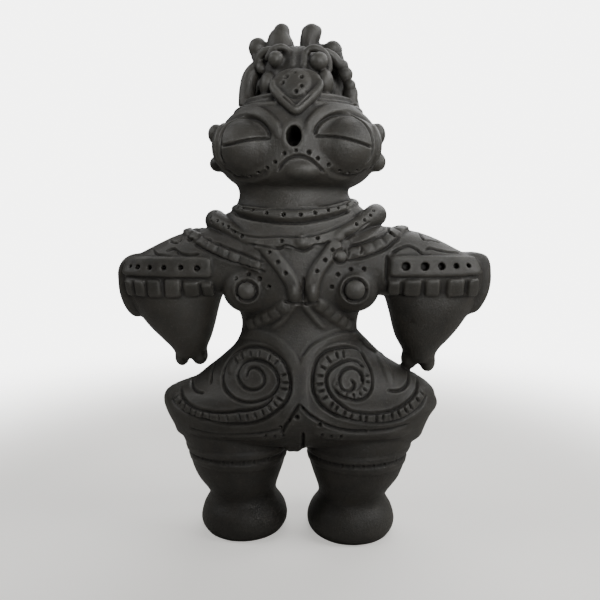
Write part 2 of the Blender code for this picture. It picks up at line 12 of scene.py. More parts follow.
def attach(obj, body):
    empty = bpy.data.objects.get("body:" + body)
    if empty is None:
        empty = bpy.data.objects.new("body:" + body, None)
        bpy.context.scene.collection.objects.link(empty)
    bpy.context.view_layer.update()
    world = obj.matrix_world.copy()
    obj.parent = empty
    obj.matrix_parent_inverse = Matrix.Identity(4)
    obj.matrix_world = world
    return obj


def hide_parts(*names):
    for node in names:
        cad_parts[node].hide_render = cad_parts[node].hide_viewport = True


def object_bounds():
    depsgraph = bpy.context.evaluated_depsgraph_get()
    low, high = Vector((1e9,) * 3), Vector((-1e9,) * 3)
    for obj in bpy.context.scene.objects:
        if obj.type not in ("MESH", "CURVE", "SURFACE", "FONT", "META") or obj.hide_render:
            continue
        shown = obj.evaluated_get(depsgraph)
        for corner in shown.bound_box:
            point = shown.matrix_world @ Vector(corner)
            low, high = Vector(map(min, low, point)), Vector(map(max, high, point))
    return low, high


started = time.time()
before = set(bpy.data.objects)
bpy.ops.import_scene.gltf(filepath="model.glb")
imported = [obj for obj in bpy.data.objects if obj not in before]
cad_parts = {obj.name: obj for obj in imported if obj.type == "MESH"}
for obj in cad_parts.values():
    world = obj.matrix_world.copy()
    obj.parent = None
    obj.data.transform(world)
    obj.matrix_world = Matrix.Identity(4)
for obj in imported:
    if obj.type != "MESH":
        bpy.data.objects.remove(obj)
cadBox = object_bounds()

# The figure is laid out in millimetres, faces -Y, and its left side as seen is at -X.
clay = {
    "bareVoxel": 1.0,  # the skin that the ornaments are laid on
    "bareSoftening": 12,
    "fineVoxel": 0.6,
    "triangles": 194000,
    "handWaves": 0.45,  # how far the hand-smoothed skin swells and sinks
    "handDents": 0.12,
    "strapSink": 2.5,  # how far a strap reaches down into the skin
    "far": 400.0,  # well outside the figure
    "toFrame": (-1.11, 0.36, 0.0),  # from these millimetres to the CAD's place
    "legMiddle": -2,
    "legHub": 46,  # from there to the upright axis of each leg
    "armMiddle": 1,
    "ballSize": 2.38,  # the side of a pad with 2 corners for each millimetre of its reach
    "steadyReach": 1.2,  # how far round a place its direction is looked up
    "waveScale": 0.045,
    "dentScale": 0.22,
    "lipMiddle": 1.4,  # where the low lip round a mark lies, in shares of the mark's reach
    "lipReach": 0.55,
}


def say(stage):
    print(f"{time.time() - started:5.1f} s  {stage}")


# Curves and lofts

def rounded(angle, power):
    c = math.cos(angle)
    s = math.sin(angle)
    return math.copysign(abs(c) ** (2 / power), c), math.copysign(abs(s) ** (2 / power), s)


def through(table, marks, step):
    slopes = np.gradient(table, marks, axis=0)
    found = []
    for i, gap in enumerate(np.diff(marks)):
        count = max(1, round(gap / step))
        for k in range(count):
            t = k / count
            found.append(
                (2 * t**3 - 3 * t**2 + 1) * table[i]
                + (t**3 - 2 * t**2 + t) * gap * slopes[i]
                + (3 * t**2 - 2 * t**3) * table[i + 1]
                + (t**3 - t**2) * gap * slopes[i + 1]
            )
    found.append(table[-1])
    return np.array(found)


def smoothLine(points, step):
    table = np.array(points, float)
    gaps = np.linalg.norm(np.diff(table, axis=0), axis=1)
    return through(table, np.concatenate([[0], np.cumsum(gaps)]), step)


def smoothRows(rows, step=2.0):
    table = np.array(sorted(rows), float)
    return through(table, table[:, 0], step)


def loft(bm, outlines):
    rings = [[bm.verts.new(p) for p in outline] for outline in outlines]
    count = len(rings[0])
    for low, high in zip(rings, rings[1:]):
        for i in range(count):
            k = (i + 1) % count
            bm.faces.new((low[i], low[k], high[k], high[i]))
    bm.faces.new(rings[0][::-1])
    bm.faces.new(rings[-1])


def uprightMass(bm, rows, middle=0, side=1, sides=72):
    # rows: height, left and right reach, front and back reach, power of the outline
    outlines = []
    for z, a, b, front, back, power in smoothRows(rows):
        x = middle + side * (a + b) / 2
        outline = []
        for i in range(sides):
            c, s = rounded(2 * math.pi * i / sides, power)
            outline.append((x + (b - a) / 2 * c, (back if s > 0 else front) * s, z))
        outlines.append(outline)
    loft(bm, outlines)


def sidewaysMass(bm, rows, middle, side, sides=72):
    # rows: distance from the middle, front and back reach, lowest and highest, power
    outlines = []
    for x, front, back, low, high, power in smoothRows(rows):
        outline = []
        for i in range(sides):
            c, s = rounded(2 * math.pi * i / sides, power)
            height = (low + high) / 2 + (high - low) / 2 * s
            outline.append((middle + side * x, (back if c > 0 else front) * c, height))
        outlines.append(outline)
    loft(bm, outlines)


def ball(bm, middle, reaches):
    made = bmesh.ops.create_uvsphere(bm, u_segments=40, v_segments=24, radius=1.0)
    stretch = Matrix.Diagonal(Vector(reaches))
    for v in made["verts"]:
        v.co = stretch @ v.co + Vector(middle)


def meshOf(bm, turned=True):
    if turned:
        bmesh.ops.recalc_face_normals(bm, faces=bm.faces)
    mesh = bpy.data.meshes.new("clay")
    bm.to_mesh(mesh)
    bm.free()
    return mesh


def corners(mesh):
    count = len(mesh.vertices)
    places = np.empty(3 * count)
    normals = np.empty(3 * count)
    mesh.vertices.foreach_get("co", places)
    mesh.vertex_normals.foreach_get("vector", normals)
    return places.reshape(count, 3), normals.reshape(count, 3)


def joined(meshes):
    bm = bmesh.new()
    for mesh in meshes:
        bm.from_mesh(mesh)
        bpy.data.meshes.remove(mesh)
    return meshOf(bm, turned=False)


# Modifiers are always made plain at once, so that no live one reaches the frame.

def placed(name, data):
    thing = bpy.data.objects.new(name, data)
    bpy.context.scene.collection.objects.link(thing)
    return thing


def withModifiers(mesh, setUp):
    helper = placed("helper", mesh)
    setUp(helper)
    bpy.context.view_layer.update()
    seen = helper.evaluated_get(bpy.context.evaluated_depsgraph_get())
    made = bpy.data.meshes.new_from_object(seen)
    bpy.data.objects.remove(helper)
    bpy.data.meshes.remove(mesh)
    return made


def oneSkin(mesh, voxel, softening):
    def setUp(helper):
        remesh = helper.modifiers.new("remesh", "REMESH")
        remesh.mode = "VOXEL"
        remesh.voxel_size = voxel
        soften = helper.modifiers.new("soften", "SMOOTH")
        soften.factor = 0.5
        soften.iterations = softening

    return withModifiers(mesh, setUp)


# Geometry Nodes

def newTree(name, *inputs):
    tree = bpy.data.node_groups.new(name, "GeometryNodeTree")
    for label, kind in (("Geometry", "Geometry"), *inputs):
        tree.interface.new_socket(label, in_out="INPUT", socket_type="NodeSocket" + kind)
    tree.interface.new_socket("Geometry", in_out="OUTPUT", socket_type="NodeSocketGeometry")
    return tree, tree.nodes.new("NodeGroupInput").outputs


def add(tree, kind, settings=None, inputs=None):
    node = tree.nodes.new(kind)
    for key, value in (settings or {}).items():
        setattr(node, key, value)
    for key, value in (inputs or {}).items():
        if isinstance(value, bpy.types.NodeSocket):
            tree.links.new(value, node.inputs[key])
        else:
            node.inputs[key].default_value = value
    return node


def maths(tree, operation, *values):
    return add(tree, "ShaderNodeMath", {"operation": operation}, dict(enumerate(values))).outputs[0]


def vectors(tree, operation, *values):
    node = add(tree, "ShaderNodeVectorMath", {"operation": operation}, dict(enumerate(values)))
    return node.outputs["Value" if operation in ("LENGTH", "DISTANCE") else "Vector"]


def named(tree, name, kind="FLOAT"):
    node = add(tree, "GeometryNodeInputNamedAttribute", {"data_type": kind}, {"Name": name})
    return node.outputs[0]


def pushed(tree, geometry, way, amount):
    offset = add(tree, "ShaderNodeVectorMath", {"operation": "SCALE"}, {0: way, "Scale": amount})
    inputs = {"Geometry": geometry, "Offset": offset.outputs[0]}
    return add(tree, "GeometryNodeSetPosition", {}, inputs).outputs[0]


def swept(tree, curve, profile):
    # the profile along the curve, as large as the path's own width says
    inputs = {"Curve": curve.outputs[0], "Profile Curve": profile.outputs[0], "Fill Caps": True}
    inputs["Scale"] = named(tree, "wide")
    return add(tree, "GeometryNodeCurveToMesh", {}, inputs).outputs[0]


def closeTree(tree, geometry):
    loose = add(tree, "GeometryNodeRealizeInstances", {}, {"Geometry": geometry}).outputs[0]
    painted = add(tree, "GeometryNodeSetMaterial", {}, {"Geometry": loose, "Material": firedClay})
    tree.links.new(painted.outputs[0], tree.nodes.new("NodeGroupOutput").inputs[0])
    return tree


def grown(tree, mesh, values):
    def setUp(helper):
        modifier = helper.modifiers.new("grow", "NODES")
        modifier.node_group = tree
        for item in tree.interface.items_tree:
            if item.in_out == "INPUT" and item.name in values:
                modifier[item.identifier] = values[item.name]

    return withModifiers(mesh, setUp)


def keep(mesh, name, kind, values):
    layer = mesh.attributes.new(name, kind, "POINT").data
    layer.foreach_set("value" if kind == "FLOAT" else "vector", np.array(values, float).ravel())


def pathMesh(paths):
    # each path is a list of rows: place, direction out of the skin, width, depth
    mesh = bpy.data.meshes.new("paths")
    rows = [row for path in paths for row in path]
    edges = []
    start = 0
    for path in paths:
        edges += [(start + i, start + i + 1) for i in range(len(path) - 1)]
        start += len(path)
    mesh.from_pydata([tuple(row[0]) for row in rows], edges, [])
    keep(mesh, "up", "FLOAT_VECTOR", [tuple(row[1]) for row in rows])
    keep(mesh, "wide", "FLOAT", [row[2] for row in rows])
    keep(mesh, "deep", "FLOAT", [row[3] for row in rows])
    return mesh


def padMesh(pads):
    # each pad is a row: place, direction out of the skin, direction along, sizes
    mesh = bpy.data.meshes.new("pads")
    mesh.from_pydata([tuple(pad[0]) for pad in pads], [], [])
    for column, name in enumerate(("up", "along", "sizes"), 1):
        keep(mesh, name, "FLOAT_VECTOR", [tuple(pad[column]) for pad in pads])
    return mesh


def rollTree():
    # round rolls of clay: the radius is the path's own width
    tree, given = newTree("clayRolls", ("Sides", "Int"))
    curve = add(tree, "GeometryNodeMeshToCurve", {}, {0: given["Geometry"]})
    inputs = {"Resolution": given["Sides"], "Radius": 1.0}
    profile = add(tree, "GeometryNodeCurvePrimitiveCircle", {}, inputs)
    return closeTree(tree, swept(tree, curve, profile))


def strapTree():
    # flat straps laid on the skin, with rounded edges
    sizes = [(label, "Float") for label in ("Half Width", "Rise", "Sink", "Edge")]
    tree, given = newTree("laidStraps", *sizes)
    curve = add(tree, "GeometryNodeMeshToCurve", {}, {0: given["Geometry"]})
    inputs = {"Curve": curve.outputs[0], "Normal": named(tree, "up", "FLOAT_VECTOR")}
    curve = add(tree, "GeometryNodeSetCurveNormal", {"mode": "FREE"}, inputs)
    thick = maths(tree, "ADD", given["Rise"], given["Sink"])
    width = maths(tree, "MULTIPLY", given["Half Width"], 2.0)
    inputs = {"Width": thick, "Height": width}
    profile = add(tree, "GeometryNodeCurvePrimitiveQuadrilateral", {}, inputs)
    inputs = {"Curve": profile.outputs[0], "Radius": given["Edge"], "Count": 5}
    inputs["Limit Radius"] = True
    profile = add(tree, "GeometryNodeFilletCurve", {"mode": "POLY"}, inputs)
    lift = maths(tree, "MULTIPLY", maths(tree, "SUBTRACT", given["Rise"], given["Sink"]), 0.5)
    shift = add(tree, "ShaderNodeCombineXYZ", {}, {"X": lift}).outputs[0]
    inputs = {"Geometry": profile.outputs[0], "Translation": shift}
    profile = add(tree, "GeometryNodeTransform", {}, inputs)
    return closeTree(tree, swept(tree, curve, profile))


def padTree():
    # pillow-shaped pads, each turned to the skin, a little different from one to the next
    # with 2 corners on a side a pad is a ball, and with more it is squarer
    tree, given = newTree("clayPads", ("Corners", "Int"), ("Unevenness", "Float"), ("Seed", "Int"))
    inputs = {"Vertices " + axis: given["Corners"] for axis in "XYZ"}
    cube = add(tree, "GeometryNodeMeshCube", {}, {"Size": (1.0, 1.0, 1.0), **inputs})
    pillow = add(tree, "GeometryNodeSubdivisionSurface", {}, {"Mesh": cube.outputs[0], "Level": 3})
    inputs = {
        "Primary Axis": named(tree, "up", "FLOAT_VECTOR"),
        "Secondary Axis": named(tree, "along", "FLOAT_VECTOR"),
    }
    axes = {"primary_axis": "Z", "secondary_axis": "X"}
    turn = add(tree, "FunctionNodeAxesToRotation", axes, inputs)
    inputs = {
        2: maths(tree, "SUBTRACT", 1.0, given["Unevenness"]),
        3: maths(tree, "ADD", 1.0, given["Unevenness"]),
        "Seed": given["Seed"],
    }
    vary = add(tree, "FunctionNodeRandomValue", {"data_type": "FLOAT"}, inputs)
    size = vectors(tree, "MULTIPLY", named(tree, "sizes", "FLOAT_VECTOR"), vary.outputs[1])
    inputs = {
        "Points": given["Geometry"], "Instance": pillow.outputs[0],
        "Rotation": turn.outputs[0], "Scale": size,
    }
    return closeTree(tree, add(tree, "GeometryNodeInstanceOnPoints", {}, inputs).outputs[0])


def waveTree():
    # the slow swell and the small dents of a surface smoothed by hand
    tree, given = newTree("handSmoothed", ("Waves", "Float"), ("Dents", "Float"))

    def noise(scale, amount):
        field = add(tree, "ShaderNodeTexNoise", {}, {"Scale": scale, "Detail": 2.0})
        return maths(tree, "MULTIPLY", maths(tree, "SUBTRACT", field.outputs[0], 0.5), amount)

    waves = noise(clay["waveScale"], given["Waves"])
    push = maths(tree, "ADD", waves, noise(clay["dentScale"], given["Dents"]))
    push = maths(tree, "MULTIPLY", push, 2.0)
    normal = tree.nodes.new("GeometryNodeInputNormal").outputs[0]
    return closeTree(tree, pushed(tree, given["Geometry"], normal, push))


def pressTree():
    # pushes the skin in under each place of a tool, with a low lip of clay round it
    inputs = ("Tool", "Object"), ("Steepness", "Float"), ("Lip", "Float")
    tree, given = newTree("pressedMarks", *inputs)
    tool = add(tree, "GeometryNodeObjectInfo", {}, {"Object": given["Tool"]}).outputs["Geometry"]
    place = tree.nodes.new("GeometryNodeInputPosition").outputs[0]
    nearest = add(tree, "GeometryNodeSampleNearest", {"domain": "POINT"}, {"Geometry": tool})

    def sampled(field, kind="FLOAT"):
        inputs = {"Geometry": tool, "Value": field, "Index": nearest.outputs[0]}
        settings = {"data_type": kind, "domain": "POINT"}
        return add(tree, "GeometryNodeSampleIndex", settings, inputs).outputs[0]

    away = vectors(tree, "DISTANCE", place, sampled(place, "FLOAT_VECTOR"))
    share = maths(tree, "DIVIDE", away, sampled(named(tree, "wide")))
    inside = maths(tree, "MINIMUM", share, 1.0)
    bowl = maths(tree, "SUBTRACT", 1.0, maths(tree, "POWER", inside, given["Steepness"]))
    bowl = maths(tree, "MULTIPLY", bowl, bowl)
    sunk = maths(tree, "MULTIPLY", bowl, sampled(named(tree, "deep")))
    rim = maths(tree, "SUBTRACT", share, clay["lipMiddle"])
    rim = maths(tree, "DIVIDE", rim, clay["lipReach"])
    rim = maths(tree, "MINIMUM", maths(tree, "MULTIPLY", rim, rim), 1.0)
    rim = maths(tree, "SUBTRACT", 1.0, rim)
    lift = maths(tree, "MULTIPLY", maths(tree, "MULTIPLY", rim, rim), given["Lip"])
    out = sampled(named(tree, "up", "FLOAT_VECTOR"), "FLOAT_VECTOR")
    push = maths(tree, "SUBTRACT", lift, sunk)
    return closeTree(tree, pushed(tree, given["Geometry"], out, push))


firedClay = bpy.data.materials.new("firedClay")
rolls = rollTree()
straps = strapTree()
pillows = padTree()
handSmoothed = waveTree()
pressed = pressTree()


# A surface that straps are laid on and marks are pressed into

class Skin:
    def __init__(self, mesh):
        places = corners(mesh)[0].tolist()
        self.tree = BVHTree.FromPolygons(places, [tuple(p.vertices) for p in mesh.polygons])

    def seen(self, start, way):
        place, normal, face, reach = self.tree.ray_cast(start, way)
        if place is None:
            return None
        # a wider look round the place steadies the direction
        total = normal.copy()
        for near in self.tree.find_nearest_range(place, clay["steadyReach"])[:24]:
            if near[1].dot(normal) > 0.3:
                total += near[1]
        return place, total.normalized()

    def spot(self, x, z, behind=False):
        way = Vector((0, -1 if behind else 1, 0))
        return self.seen(Vector((x, 0, z)) - way * clay["far"], way)

    def front(self, points, step=0.5, behind=False):
        found = [self.spot(x, z, behind) for x, z in smoothLine(points, step)]
        return [pair for pair in found if pair is not None]

    def ring(self, middle, height, start=0, end=360, step=1.5, fromInside=False):
        # a line round an upright axis; 0 looks at +X, 90 at the back, -90 at the front
        found = []
        count = round(abs(end - start) / step)
        for i in range(count + 1):
            angle = math.radians(start + (end - start) * i / count)
            way = Vector((-math.cos(angle), -math.sin(angle), 0))
            hub = Vector((middle, 0, height(angle)))
            if fromInside:
                found.append(self.seen(hub, -way))
            else:
                found.append(self.seen(hub - way * clay["far"], way))
        return [pair for pair in found if pair is not None]


def ringOf(x, z, wide, high=None, count=40):
    turns = [2 * math.pi * i / count for i in range(count + 1)]
    return [(x + wide * math.cos(a), z + (high or wide) * math.sin(a)) for a in turns]


def closedLine(line):
    # the first two places again in the stead of the last, so that the ends meet
    return line[:-1] + line[:2]


def roundRoll(points):
    # a path in the round, with its radius, and half-round ends
    rows = smoothLine(points, 1.0)
    places = [Vector(row[:3]) for row in rows]
    facing = (0, -1, 0)
    ends = (0.4, 0.7, 0.9, 0.99)

    def domed(place, beyond, radius, shares):
        out = (place - beyond).normalized()
        for share in shares:
            yield place + out * radius * share, facing, radius * math.sqrt(1 - share**2), 1.0

    path = list(domed(places[0], places[1], rows[0][3], ends[::-1]))
    path += [(place, facing, row[3], 1.0) for place, row in zip(places, rows)]
    path += domed(places[-1], places[-2], rows[-1][3], ends)
    return path


def tapered(line, reach, least):
    # the rows of a path whose width dies away at its two ends
    rows = []
    for i, (place, normal) in enumerate(line):
        end = min(i, len(line) - 1 - i)
        share = 1.0 if end >= reach else least + (1 - least) * math.sqrt(end / reach)
        rows.append((place, normal, share, 1.0))
    return rows


def layStraps(lines, size, closed=False):
    reach = 0 if closed else size.get("taper", 6)
    paths = [tapered(line, reach, size.get("least", 0.35)) for line in lines]
    values = {"Half Width": size["halfWidth"], "Rise": size["rise"], "Edge": size["edge"]}
    return grown(straps, pathMesh(paths), {"Sink": clay["strapSink"], **values})


def laid(size, behind=False):
    return layStraps([skin.front(points, behind=behind) for points in size["lines"]], size)


def padsAlong(line, count, size, start, end):
    # pads spread evenly between two shares of a line's length
    marks = [0.0]
    for before, after in zip(line, line[1:]):
        marks.append(marks[-1] + (after[0] - before[0]).length)
    pads = []
    for k in range(count):
        spot = start + (end - start) * (k + 0.5) / count
        i = int(np.searchsorted(marks, spot * marks[-1]))
        i = min(max(i, 3), len(line) - 4)
        along = (line[i + 3][0] - line[i - 3][0]).normalized()
        pads.append((*line[i], along, size))
    return pads


# The bare masses: trunk, head, crown, legs, forearms, sleeves

trunkRows = [
    (69, -84, 82, 24, 24, 2.6), (73, -91, 88, 32, 32, 2.4), (79, -93, 90.5, 39.5, 39, 2.3),
    (84, -95.5, 92.5, 43.5, 42, 2.2), (89, -98.3, 95, 45, 44, 2.1), (98, -101, 100, 46, 45, 2),
    (102, -100, 98.3, 45.5, 45, 1.95), (107, -93.5, 97, 44.5, 44, 1.95),
    (111, -82, 93, 43.5, 43, 1.95), (120, -69, 78.5, 40.5, 40, 2),
    (129, -58, 63, 37.5, 37, 2), (138, -48, 49, 34.5, 34, 2), (147, -43, 42.3, 32, 32, 2),
    (156, -42, 41.5, 31, 31, 2), (165, -45, 44, 32, 31, 2), (175, -51, 51, 35, 33, 2.1),
    (190, -58, 58, 37, 35, 2.2), (205, -60, 60, 36, 35, 2.2), (215, -59, 57, 34, 34, 2.2),
    (224, -56, 53, 32, 32, 2.1), (231, -52, 48, 31, 31, 2), (237, -46, 42, 30, 30, 2),
    (243, -43, 35.5, 29.5, 30, 2), (248, -43, 34, 30, 31, 2), (254, -45, 36, 34, 34, 2),
    (262, -46, 40, 38, 38, 2),
]
headRows = [
    (247, -34, 28, 24, 26, 2), (251, -43, 38, 36, 34, 2), (256, -50, 46, 42, 40, 2),
    (262, -55, 51, 44, 44, 2), (270, -58, 55, 44, 47, 2), (278, -58.5, 56.5, 44, 48, 2),
    (286, -56.5, 54.5, 43, 47, 2), (292, -52.5, 50.5, 42, 45, 2), (298, -47, 45, 40, 42, 2),
    (304, -41, 39, 35, 37, 2), (310, -32, 30, 26, 28, 2),
]
crownRows = [
    (298, -41, 37, 36, 36, 2), (305, -36, 32, 35, 34, 2), (310, -29, 25, 33, 32, 2),
    (322, -26, 22, 30, 28, 2), (330, -25, 20, 26, 25, 2), (337, -21, 16, 21, 21, 2),
    (342, -15, 11, 14, 15, 2),
]
legRows = [
    (92, 10, 78, 32, 32, 2.2), (80, 7, 84, 34, 34, 2.1), (70, 5.5, 84.5, 35, 35, 2),
    (61, 7.5, 80.5, 34.5, 34.5, 2), (51, 9.6, 78.3, 33.5, 33.5, 2),
    (42, 12.5, 74.5, 31.5, 31.5, 2), (33, 15.5, 68, 27.5, 27.5, 2),
    (28, 16.3, 65.5, 25.3, 25.3, 2), (24.5, 15, 66, 26, 26, 2),
    (18, 10.4, 69.8, 30.2, 30.2, 2), (12, 8, 71.6, 32, 32, 2), (8, 7.4, 72.2, 32.4, 32.4, 2),
    (4, 8.3, 71.2, 31.5, 31.5, 2), (0, 11, 68.6, 28.6, 28.6, 2), (-3, 14, 66, 26, 26, 2),
]
forearmRows = [
    [
        (190, 54, 121, 25, 25, 2.3), (178, 56, 123, 26, 26, 2.3), (169, 59, 122, 26, 26, 2.2),
        (160, 61.5, 117, 24.5, 24.5, 2.1), (151, 63.5, 110.5, 22, 22, 2),
        (143, 66, 102.5, 19, 19, 2), (136, 69, 95.5, 15.5, 15.5, 2),
        (131, 70.5, 92.5, 12.5, 12.5, 2), (128, 72, 91, 10, 10, 2),
    ],
    [
        (190, 56.5, 121, 25, 25, 2.3), (178, 58.5, 123, 26, 26, 2.3), (169, 61, 122, 26, 26, 2.2),
        (160, 63.5, 117, 24.5, 24.5, 2.1), (151, 65.5, 111, 22, 22, 2),
        (143, 68.5, 104.5, 19, 19, 2), (136, 72.5, 98, 15.5, 15.5, 2),
        (130, 75, 95.5, 12.5, 12.5, 2), (127, 76.5, 94, 10, 10, 2),
    ],
]
sleeveRows = [
    (20, 30, 30, 175, 224, 2.4), (45, 31, 30, 175, 224, 2.5), (60, 30, 30, 174.5, 223, 2.5),
    (75, 29, 29, 172, 221, 2.5), (90, 28, 28, 171, 216.5, 2.5), (100, 27, 27, 171, 212, 2.5),
    (110, 25.5, 25.5, 171, 207, 2.5), (116, 23.5, 23.5, 172, 204, 2.4),
    (120, 21, 21, 173, 202.5, 2.4), (123, 17, 17, 175, 201, 2.3), (125, 11, 11, 178, 198, 2.1),
]

# The upright fin on the outside of each sleeve: its outline, and its thickness to front and back
sleeveFin = {
    "middle": (114, 184),
    "left": [
        (96, 200), (106, 204), (116, 204.2), (122, 203.2), (127.4, 200), (131, 194.4),
        (132, 184.2), (131.4, 176.8), (129.8, 170.7), (127.6, 165.6), (124.2, 160.8),
        (120, 157.8), (115.6, 158.8), (111.6, 162), (104, 167), (97, 180),
    ],
    "right": [
        (96, 200), (106, 204.5), (116, 205.4), (124, 205.2), (128.8, 203.2), (131.2, 198.6),
        (132.1, 191.3), (132.1, 184.2), (130.8, 177.4), (127.9, 170), (124, 164.4),
        (119.4, 162.2), (113.8, 161.8), (104, 166), (97, 180),
    ],
    "faces": [(-10, 0.90), (-9.2, 0.96), (-7.2, 1), (7.2, 1), (9.2, 0.96), (10, 0.90)],
}

# Swellings, as the middle and the three reaches
swellings = [
    ((-33, -24.5, 274.5), (23, 20.5, 19.5)), ((31, -24, 275), (23, 21, 19.5)),  # goggle eyes
    ((-22, -27, 274.5), (14, 16.5, 15)), ((20.5, -27, 275), (14, 16.5, 15)),
    ((3.5, -35, 259), (14.5, 11, 7.5)),  # chin
    ((-58, -3, 286.6), (6.3, 6.6, 7.4)), ((-57.4, -3, 266.6), (6.1, 6.4, 5.8)),  # ear knobs
    ((53.4, -3, 285.6), (6, 6.6, 8)), ((53.2, -3, 267.2), (6.8, 6.6, 7)),
    ((-34, -22, 181), (18, 14, 17)), ((37.5, -22, 182), (18, 14, 17)),  # breasts
    ((-87, 0, 128.4), (5.3, 8.4, 7.6)), ((-73.8, 0, 129), (6, 8.4, 7.2)),  # hands
    ((79.2, 0, 129), (6.3, 8.4, 7.9)), ((92, 0, 127.4), (5.8, 8.4, 8.3)),
    # the lump between the legs
    ((-5.4, -16, 73.2), (5.6, 16, 8.8)), ((-0.4, -16, 73.2), (5.2, 16, 8.8)),
]


def finMass(bm, side):
    x0, z0 = sleeveFin["middle"]
    rim = sleeveFin["left" if side < 0 else "right"]
    rim = smoothLine(rim + rim[:1], 2.0)[:-1]
    outlines = []
    for y, share in sleeveFin["faces"]:
        outline = [(x0 + (x - x0) * share, z0 + (z - z0) * share) for x, z in rim]
        outlines.append([(clay["armMiddle"] + side * x, y, z) for x, z in outline])
    loft(bm, outlines)


def bareBody():
    bm = bmesh.new()
    uprightMass(bm, trunkRows)
    uprightMass(bm, headRows)
    uprightMass(bm, crownRows)
    for side, rows in zip((-1, 1), forearmRows):
        uprightMass(bm, legRows, clay["legMiddle"], side)
        uprightMass(bm, rows, clay["armMiddle"], side)
        sidewaysMass(bm, sleeveRows, clay["armMiddle"], side)
        finMass(bm, side)
    for middle, reaches in swellings:
        ball(bm, middle, reaches)
    return oneSkin(meshOf(bm), clay["bareVoxel"], clay["bareSoftening"])


bare = bareBody()
skin = Skin(bare)
say(f"bare body, {len(bare.vertices)} points")
raised = []

# The crown

crownRolls = {
    "horns": [
        [(-12.4, -2, 334, 10.4), (-13, -2, 343, 9.9), (-13.4, -2, 348, 9), (-13.1, -2, 351.2, 7.8),
         (-12.3, -2, 354.2, 5.8)],
        [(-11.6, -2, 353.6, 4.6), (-10.9, -2, 355.6, 4)],
        [(6.1, -2, 334, 7.2), (6.2, -2, 344, 6.4), (6.9, -2, 349, 6.7), (8.1, -2, 352.6, 6.9)],
        [(5, -2, 354.2, 3.9), (8.2, -2, 355.2, 4.2), (11.4, -2, 354.3, 4)],
    ],
    "outerKnobs": [
        [(-18, 0, 341, 6), (-25, 0, 344, 4.8), (-29.8, 0, 345.4, 5.4)],
        [(13, 0, 341, 6), (19, 0, 341.8, 5), (23.6, -1, 341.8, 5.6)],
        [(-30, 0, 339.4, 3.8), (-28.4, -4, 336, 3.6), (-26, -8, 333, 3.4), (-25, -12, 328, 3.4)],
        [(25, -1, 339, 4.4), (27, -3, 334, 3.8)],
    ],
    "sideLoops": [
        [(-20, -6, 331, 4.5), (-27, -5, 331.4, 4.8), (-33, -5, 325.8, 5.4), (-35.4, -6, 316, 5.8),
         (-35.6, -8, 306, 6.2)],
        [(16, -4, 334, 4.4), (22, -4, 333, 3.8), (27, -5, 330, 3.2), (31.5, -5, 325.2, 4.9)],
        [(31.5, -5, 325.2, 4.9), (32.6, -5, 320, 3.1), (34.8, -5, 313.4, 4.9), (34.2, -7, 305, 5)],
        [(34.8, -6, 314.6, 3.6), (36.2, -6, 310.8, 3.6)],
    ],
    "archesOverBalls": [
        [(-28, -10, 331, 2.6), (-26, -12, 336.6, 2.6), (-21.5, -14, 338.9, 2.5),
         (-17, -15, 338.8, 2.4)],
        [(-20, -20, 332.6, 2.2), (-16, -22, 337.2, 2.2), (-10.6, -22.4, 338.5, 2.2),
         (-6.4, -21.4, 336.6, 2.2), (-5, -22, 332.5, 2)],
        [(5, -22, 333.5, 2), (7.5, -22, 337, 2.2), (12, -22.4, 337.4, 2.3), (16.8, -21.4, 335, 2.4),
         (19.8, -20.4, 330.5, 2.4), (20.6, -19.6, 325, 2.2)],
        [(18, -12, 338, 2.6), (23, -10, 335.5, 3), (27, -8, 331, 3.2)],
    ],
    "brow": [
        [(-2.6, -17.5, 338.4, 2), (-2.8, -22.6, 333, 2.1), (-3.2, -27.4, 326, 2.1)],
        [(3.7, -17.5, 338.4, 2), (4.2, -22.6, 333, 2.2), (4.4, -27.4, 326, 2.2)],
    ],
    "backs": [
        [(-34, 8, 304, 6), (-34, 9, 316, 5), (-29, 8, 329, 5), (-22, 6, 336, 5)],
        [(31, 8, 304, 6), (26, 7, 311, 4.6), (25.6, 7, 316, 4.2), (27, 8, 321, 5), (26, 8, 330, 5),
         (19, 6, 336, 5)],
        [(38, 4, 303, 4), (36, 8, 312, 4.4), (33.4, 9, 321, 4.2), (27, 9, 330, 4.4)],
        [(-26, 18, 326, 3.6), (-15, 25, 335, 3.4), (0, 27, 330, 3.4), (12, 25, 335, 3.4),
         (22, 18, 327, 3.6)],
        [(-29, 16, 311, 4), (-16, 30, 315, 3.8), (-2, 33, 310, 3.8), (12, 30, 315, 3.8),
         (25, 16, 311, 4)],
    ],
}
crownBalls = [
    ((-13.9, -25, 330.3), (5.3, 5.6, 5.3)), ((13.8, -25, 328.6), (6, 5.8, 5.8)),
    ((-19.2, -20, 314.6), (6.2, 10.5, 9.4)), ((17.9, -21, 315.8), (5.7, 10, 8.6)),
    ((-2, 28, 322), (6, 5, 6)), ((-14, 26, 325), (4.6, 5, 4.6)), ((11, 26, 325), (4.6, 5, 4.6)),
    ((-28.8, 0, 344.7), (6.7, 6, 7)), ((22.4, -1, 342.4), (6.2, 6, 6.1)),
    ((34.6, -7, 317.4), (3.6, 4.4, 4)), ((29.4, -6, 330.6), (4, 4.4, 4)),
    ((-30, 9, 315), (5, 8, 9)), ((22, 8, 319.4), (4.6, 6, 7)), ((-26.8, 8, 321), (4.6, 6, 7)),
]
